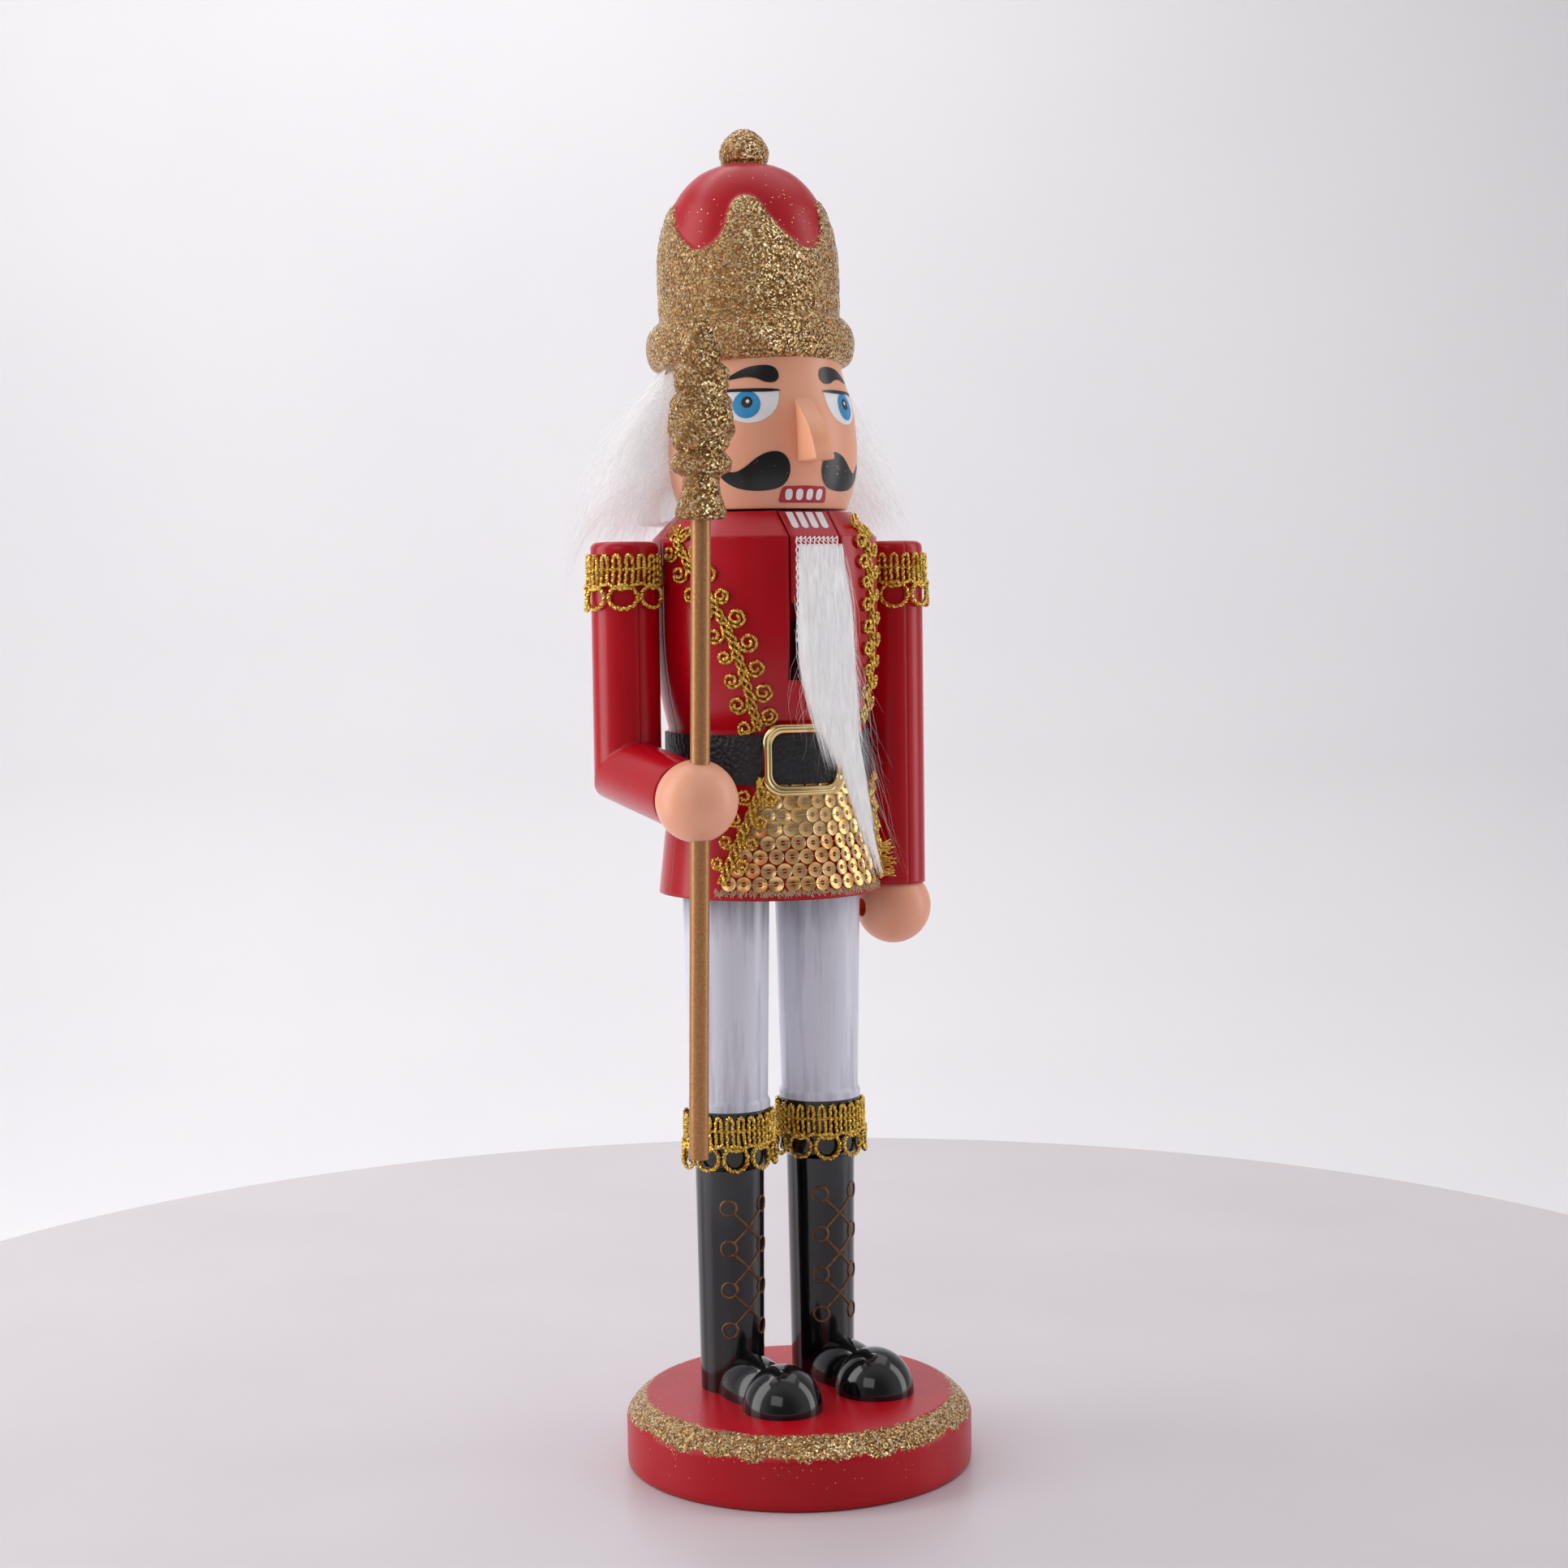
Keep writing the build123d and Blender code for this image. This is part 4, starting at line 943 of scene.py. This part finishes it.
def scrollBraid(name, controls, out, curl, replaced, seed):
    # paired spiral curls on a core of twisted cords, along a path of (phi, z)
    dice = random.Random(seed)
    flat = [(phi * math.pi / 180 * 24.0, z) for phi, z in controls]
    length = sum(math.dist(a, b) for a, b in zip(flat, flat[1:]))
    path = through(flat, int(length / 0.5) + 2)

    def place(s, t, w):
        at = min(max(s / length, 0.0), 1.0) * (len(path) - 1)
        i = min(int(at), len(path) - 2)
        part = at - i
        u = path[i][0] + (path[i + 1][0] - path[i][0]) * part
        z = path[i][1] + (path[i + 1][1] - path[i][1]) * part
        du, dz = path[i + 1][0] - path[i][0], path[i + 1][1] - path[i][1]
        size = math.hypot(du, dz)
        u, z = u - dz / size * t, z + du / size * t
        return onCoat(u / 24.0 * 180 / math.pi, z, out + w)
    lines = []
    for k in range(3):
        core = [place(s, 0.8 * math.sin(s * 0.95 + k * 2.1), 0.5 + 0.35 * math.cos(s * 0.95 + k * 2.1))
                for s in [length * i / 90 for i in range(91)]]
        lines += plied(core, 0.2, 1.0, 0.28)
    s, way = 2.0, 1
    while s < length - 0.8:
        radius = curl * dice.uniform(0.85, 1.1)
        middleT = way * (radius + 0.9)
        turns = 2 * math.pi * dice.uniform(1.35, 1.6)
        lean = dice.uniform(-0.3, 0.3)
        spiral = []
        for i in range(34):
            part = i / 33
            angle = -math.pi / 2 * way + way * turns * part + lean
            r = radius * (1.0 - 0.72 * part)
            spiral.append(place(s + r * math.cos(angle), middleT + r * math.sin(angle), 0.7 + 0.5 * part))
        lines += plied(spiral, 0.2, 0.9, 0.26)
        way = -way
        s += curl * 2.0 if way > 0 else 1.6
        if way > 0:
            s += dice.uniform(-0.2, 0.2)
    for _ in range(7):
        t = dice.uniform(-1.6, 1.6)
        tuft = [place(0.6, t * 0.4, 0.6), place(-0.2, t * 0.9, 1.0 + dice.uniform(0, 0.6))]
        end = Vector(tuft[-1]) + Vector((dice.uniform(-0.8, 0.8), dice.uniform(-0.8, 0.2),
                                         dice.uniform(0.8, 2.0)))
        lines.append([*tuft, tuple(end)])
    addPiece(name, tubes(name, lines, 0.27, 0), gimpGold, "figure", replaced, angle=70.0)


scrollBraid("rightChestBraid", [(-78.0, coatTop - 4.6), (-66.0, coatTop - 12.0), (-52.0, coatTop - 21.0),
                                (-41.0, coatTop - 31.0), (-31.0, coatTop - 49.0)], 0.0, 2.0,
                                ("right_chest_braid",), 3)
scrollBraid("leftChestBraid", [(33.0, coatTop - 2.6), (38.0, coatTop - 14.0), (41.0, coatTop - 30.0),
                               (44.0, coatTop - 48.5)], 0.0, 1.7, ("left_chest_braid",), 5)
apronTop = beltLow - 0.3
apronLow = hemZ + 2.4
scrollBraid("rightApronBraid", [(-29.0, apronTop), (-38.0, apronTop - 9.0), (-50.0, apronLow + 1.5)], 1.2,
            1.8,
            ("right_apron_braid",), 8)
scrollBraid("leftApronBraid", [(52.0, apronTop), (54.0, (apronTop + apronLow) / 2), (55.0, apronLow + 0.5)],
            1.0, 1.4,
            ("left_apron_braid",), 9)
print("braids made")

# sequin apron: net with sewn sequins
apronSize = {"half": 55.0, "pitch": 3.55, "rowStep": 3.05, "sequin": 1.7, "hole": 0.55}


def onApron(u, z, out):
    return onCoat(math.degrees(u / (chestR - 1.0)), z, out)


halfWide = math.radians(apronSize["half"]) * (chestR - 1.0)


def apronEdge(z):
    # the cloth's edge on the figure's right runs out towards the hem
    down = (apronTop - z) / (apronTop - apronLow)
    return -math.radians(31.0 + 21.0 * down) * (chestR - 1.0)


def netPlace(i, j):
    u = -halfWide + 2 * halfWide * j / 70
    ragged = 0.5 * noise.noise(Vector((u * 0.8, 3.0, 0))) + 0.25 * noise.noise(Vector((u * 3.1, 7.0, 0)))
    z = apronTop + (apronLow - 0.7 + ragged - apronTop) * i / 24
    edge = apronEdge(z)
    u = edge + (halfWide - edge) * (u + halfWide) / (2 * halfWide)
    return onApron(u, z, 0.35)


net = addPiece("apronNet", grid("apronNet", netPlace, 25, 71, False), netCloth, "figure",
               ("apron",))
parts, threads = [], []
row, z = 0, apronTop - 0.6
while z > apronLow + 0.4:
    u = -halfWide + 1.8 + (apronSize["pitch"] / 2 if row % 2 else 0.0)
    while u < halfWide - 1.2:
        cu, cz = u + rng.uniform(-0.16, 0.16), z + rng.uniform(-0.14, 0.14)
        if cu < apronEdge(cz):
            u += apronSize["pitch"]
            continue
        tiltU, tiltZ = rng.uniform(-0.13, 0.13), rng.uniform(0.0, 0.17)
        points = []
        for radius, cup in ((apronSize["hole"], 0.0), (apronSize["sequin"] * 0.72, 0.06),
                            (apronSize["sequin"], 0.22)):
            for i in range(18):
                t = 2 * math.pi * i / 18
                du, dz = radius * math.cos(t), radius * math.sin(t)
                points.append(onApron(cu + du, cz + dz, 0.7 + cup + du * tiltU - dz * tiltZ))
        faces = [(k * 18 + i, k * 18 + (i + 1) % 18, (k + 1) * 18 + (i + 1) % 18, (k + 1) * 18 + i)
                 for k in range(2) for i in range(18)]
        parts.append((points, faces))
        for way in (1, -1):
            threads.append([onApron(cu + way * s * apronSize["sequin"] * 1.05, cz + 0.1 * way * s, 0.86
                                    + 0.2 * s * s)
                            for s in (0.0, 0.35, 0.7, 1.0)])
        u += apronSize["pitch"]
    z -= apronSize["rowStep"]
    row += 1
addPiece("apronSequins", joined("apronSequins", parts), sequinFoil, "figure")
for _ in range(520):
    u = rng.uniform(-halfWide, halfWide)
    z = apronLow - 0.5 + rng.uniform(-0.2, 0.8)
    lean = rng.uniform(-0.7, 0.7)
    threads.append([onApron(u, z, 0.5), onApron(u + lean, z - rng.uniform(0.5, 1.3), 0.7
                                                + rng.uniform(-0.1, 0.5))])
addPiece("apronThreads", tubes("apronThreads", threads, 0.08, 0), netCloth, "figure",
         angle=70.0)
tuft = []
for _ in range(60):
    start = onApron(halfWide * 0.99, apronLow + rng.uniform(1.0, 8.0), 0.8)
    away = Vector((rng.uniform(1.5, 4.5), rng.uniform(-2.2, 0.5), rng.uniform(-1.6, 2.2)))
    bend = Vector((rng.uniform(-0.6, 0.6), rng.uniform(-0.6, 0.6), rng.uniform(-0.6, 0.6)))
    tuft.append([tuple(Vector(start) + away * t + bend * (t * (1 - t) * 2))
                 for t in (0, 0.25, 0.5, 0.75, 1.0)])
addPiece("apronTuft", tubes("apronTuft", tuft, 0.13, 0), gimpGold, "figure", angle=70.0)
print("apron made")

# cast buckle: a rounded frame with a sloped inner edge, bent to the waist
buckleSize = {"wide": 20.5, "tall": 16.4, "corner": 4.2, "turn": -5.0}
buckleZ = middle("buckle")[2]


def framePath(inset):
    wide, tall = buckleSize["wide"] / 2 - inset, buckleSize["tall"] / 2 - inset
    corner = buckleSize["corner"] - inset * 0.6
    loop = []
    for cx, cz, start in ((wide, tall, 0), (-wide, tall, 90), (-wide, -tall, 180), (wide, -tall, 270)):
        sx, sz = cx - math.copysign(corner, cx), cz - math.copysign(corner, cz)
        loop += [(sx + corner * math.cos(math.radians(start + a)), sz
                  + corner * math.sin(math.radians(start + a)))
                 for a in range(0, 91, 10)]
        if abs(start - 0) < 1 or abs(start - 180) < 1:
            end = (-sx, cz)
            loop += [(sx + (end[0] - sx) * i / 8, cz) for i in range(1, 8)]
        else:
            loop += [(cx, sz - 2 * sz * i / 8) for i in range(1, 8)]
    return loop


section = [(0.0, 0.35), (0.1, 1.0), (0.45, 1.45), (0.9, 1.55), (1.25, 1.3), (1.5, 0.85), (1.9, 0.8),
           (2.15, 0.6), (2.2, 0.2), (1.1, 0.1)]
rings = [framePath(inset) for inset, _ in section]
count = len(rings[0])


def bucklePlace(i, j):
    u, v = rings[i % len(section)][j]
    r = waistR + 1.2 + section[i % len(section)][1]
    angle = math.radians(buckleSize["turn"]) + u / (waistR + 1.8)
    return (axisX + r * math.sin(angle), axisY - r * math.cos(angle), buckleZ + v)


buckleMesh = grid("beltBuckle", bucklePlace, len(section) + 1, count, True)
bm = bmesh.new()
bm.from_mesh(buckleMesh)
bmesh.ops.remove_doubles(bm, verts=bm.verts, dist=1e-6)
bmesh.ops.recalc_face_normals(bm, faces=bm.faces)
bm.to_mesh(buckleMesh)
bm.free()
addPiece("beltBuckle", buckleMesh, buckleGold, "figure", ("buckle",), angle=50.0)
print("buckle made")

# crocheted tape that holds the beard
tapeLow, tapeHigh = span("beard_tape")
tapeY = tapeLow[1] - 0.1
tapeHigh[2] += 1.8
tapeLow[2] -= 9.0
tapeLines = []
columns = [tapeLow[0] + 0.4 + i * (tapeHigh[0] - tapeLow[0] - 0.8) / 9 for i in range(10)]
for x in columns:
    tapeLines.append([(x + 0.12 * math.sin(i * 1.9 + x), tapeY - 0.1 * math.cos(i * 1.9), tapeHigh[2]
                       - i * 0.6)
                      for i in range(int((tapeHigh[2] - tapeLow[2]) / 0.6) + 1)])
for left, rightX in zip(columns, columns[1:]):
    tapeLines.append([(left if i % 2 else rightX, tapeY - 0.15, tapeHigh[2] - i * 0.75)
                      for i in range(int((tapeHigh[2] - tapeLow[2]) / 0.75) + 1)])
addPiece("beardTapeLace", tubes("beardTapeLace", tapeLines, 0.17, 0), fur, "jaw",
         ("beard_tape",), angle=70.0)

# fur strands
furSize = {"hair": 13500, "wisps": 900, "beard": 6200}


def strandSide(dice):
    side = Vector((dice.gauss(0, 1), dice.gauss(0, 1), dice.gauss(0, 0.6)))
    return side.normalized()


dice = random.Random(21)
strands = []
for index in range(furSize["hair"] + furSize["wisps"]):
    wisp = index >= furSize["hair"]
    around = dice.uniform(-80.0, 80.0)
    z0 = headLow + 33.0 - 27.0 * dice.random() ** 1.15
    clump = noise.noise(Vector((around * 0.09, z0 * 0.08, 1.0)))
    drop = (dice.uniform(20.0, 36.0) if wisp else dice.uniform(9.0, 21.0)) * (1.0 + 0.35 * clump)
    endZ = max(z0 - drop, headLow - (20.0 if wisp else 6.5) + dice.uniform(-3.0, 3.0))
    fall = (headLow + 33.0 - endZ) / 38.0
    outer = (27.0 + 14.0 * min(fall, 1.2)) * (1.0 + 0.14 * clump) * dice.uniform(0.66, 1.08)
    if wisp:
        outer *= dice.uniform(1.0, 1.2)
    outer = min(outer, 47.0)
    swing = dice.gauss(0, 3.5) + 9.0 * clump
    line = []
    for i in range(6):
        t = i / 5
        r = lookup(headRadius, z0) + 0.6 + (outer - 21.5) * (1 - (1 - t) ** 1.7)
        a = math.radians(90.0 + around + swing * t + 2.0 * math.sin(t * 6 + index))
        z = z0 + (endZ - z0) * t ** 1.25 + (1.5 * math.sin(t * 3.1) if wisp else 0.0)
        x, y = axisX + r * math.cos(a), axisY + r * math.sin(a)
        if 25.0 < abs(x) < 42.2 and y < axisY + 10.0 and z < coatTop - 5.6:
            z = coatTop - 5.6 + 0.3 * dice.random()
        line.append((x, y, z))
    strands.append((line, dice.uniform(0.05, 0.1), strandSide(dice)))
hairMesh = ribbons("hairStrands", strands)
addPiece("hairStrands", hairMesh, fur, "figure", ("hair",), angle=180.0)
capProfile = through([(21.0, headLow + 33.5), (25.0, headLow + 31.0), (28.0, headLow + 24.0),
                      (29.5, headLow + 12.0), (31.5, headLow - 1.0), (28.0, headLow - 3.0),
                      (22.5, headLow - 2.0)], 40)


def capPlace(i, j):
    r, z = capProfile[i]
    around = -76.0 + 152.0 * j / 120
    thin = 1.0 - (abs(around) / 76.0) ** 6 * 0.75
    lump = 1.6 * noise.noise(Vector((around * 0.12, z * 0.05, 0))) + 0.7 * noise.noise(Vector((around * 0.5,
                                                                                               z * 0.2, 4)))
    r = 21.9 + (r - 21.9) * thin + lump * thin
    a = math.radians(90.0 + around)
    return (axisX + r * math.cos(a), axisY + r * math.sin(a), z)


addPiece("hairUnderfur", grid("hairUnderfur", capPlace, 40, 121, False), fur, "figure",
         angle=180.0)

beardTop = tapeHigh[2] - 1.6
beardFoot = span("beard")[0][2]
beardSize = {"half": 5.4, "drift": 13.5}
dice = random.Random(5)
locks = [(dice.uniform(-beardSize["half"], beardSize["half"]) + 0.7, dice.uniform(-1.6, 1.6),
          dice.uniform(0.0, 6.28),
          dice.uniform(0.0, 1.1), dice.choice((0.5, 0.56, 0.62, 0.7, 0.8, 0.92))) for _ in range(40)]
strands = []
for index in range(furSize["beard"]):
    x0 = dice.uniform(-beardSize["half"], beardSize["half"]) + 0.7
    z0 = beardTop - 30.0 * dice.random() ** 1.4
    lockX, sway, phase, lift, reach = min(dice.sample(locks, 6), key=lambda lock: abs(lock[0] - x0))
    endZ = min(beardTop - (beardTop - beardFoot) * reach * dice.uniform(0.84, 1.06), z0 - 9.0)
    off = dice.gauss(0.0, 0.6)
    stray = dice.random() < 0.05
    wander = dice.uniform(-8.0, 7.0)
    line = []
    for i in range(10):
        t = i / 9
        z = max(z0 + (endZ - z0) * t, beardFoot + 0.5)
        down = (beardTop - z) / (beardTop - beardFoot)
        pull = beardSize["drift"] * max(down - 0.32, 0.0) ** 1.25 * 1.55
        narrow = 1.0 + 0.22 * math.sin(min(down * 1.8, 1.0) * math.pi) - 0.7 * max(down - 0.35, 0.0)
        gather = 0.85 * t ** 0.6
        x = (x0 * (1 - gather) + (lockX + off * (1.25 - 0.6 * t)) * gather) * narrow + pull
        x += sway * t * math.sin(2.6 * t + phase) + 0.12 * math.sin(9 * t + index)
        if stray:
            x += wander * t ** 1.5 + 1.3 * math.sin(7.0 * t + index)
        front = axisY - (chestR + 0.2 if z < beltHigh + 3.0 else lookup(coatRadius, z))
        puff = 2.2 * math.sin(min(down * 1.7, 1.0) * math.pi) * (0.35 + 0.65 * ((index * 7) % 10) / 10)
        y = min(tapeLow[1] - 0.25 - puff, front - 0.7 - 0.5 * ((index * 3) % 10) / 10)
        y -= (lift + max(0.0, 0.7 - off * off) * 0.9) * min(1.0, 2.5 * t)
        if stray:
            y -= 2.4 * t * dice.random()
        line.append((x, y, z))
    strands.append((line, 0.035 if stray else dice.uniform(0.04, 0.085), strandSide(dice)))
beardPiece = addPiece("beardStrands", ribbons("beardStrands", strands), fur, None, ("beard",),
                      angle=180.0)
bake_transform(beardPiece)
print("fur made")

# stray flecks of foil near the glue
flecks = []


def fleck(centre, normal, size):
    normal = Vector(normal).normalized()
    side = normal.orthogonal().normalized()
    side.rotate(Matrix.Rotation(rng.uniform(0, 6.28), 3, normal))
    other = normal.cross(side)
    at = Vector(centre) + normal * 0.05
    points = [tuple(at + (side * math.cos(t) + other * math.sin(t)) * size)
              for t in (0, 1.26, 2.51, 3.77, 5.03)]
    flecks.append((points, [(0, 1, 2, 3, 4)]))


for _ in range(420):
    angle = rng.uniform(0, 2 * math.pi)
    z = rng.uniform(24.5, 43.0) if rng.random() < 0.35 else 24.0 + 12.0 * rng.random()
    if crownDepth(angle, z) > -0.4:
        continue
    r = lookup([(p[1], p[0]) for p in hatProfile[60:]], z)
    place = Vector(hatAt) + hatTurn @ Vector((r * math.cos(angle), r * math.sin(angle), z))
    fleck(place, hatTurn @ Vector((math.cos(angle), math.sin(angle), max((z - 22) / 12, 0.0))),
          rng.uniform(0.1, 0.2))
for _ in range(260):
    angle = rng.uniform(0, 2 * math.pi)
    r = 35.2 - 9.0 * rng.random() ** 2.2
    fleck((r * math.cos(angle), r * math.sin(angle), h), (0, 0, 1), rng.uniform(0.09, 0.17))
for _ in range(120):
    angle = rng.uniform(0, 2 * math.pi)
    fleck((baseSize["radius"] * math.cos(angle), baseSize["radius"] * math.sin(angle), 11.0
           - 7.0 * rng.random() ** 2),
          (math.cos(angle), math.sin(angle), 0), rng.uniform(0.09, 0.15))
for _ in range(26):
    phi, z = rng.choice((-1, 1)) * rng.uniform(12.0, 46.0), headLow + rng.uniform(5.5, 11.0)
    at = onHead(phi, z, 0.18)
    fleck(at, (at[0] - axisX, at[1] - axisY, 0), rng.uniform(0.08, 0.13))
addPiece("strayFlecks", joined("strayFlecks", flecks), fleckFoil, "figure", angle=180.0)
print("flecks made")
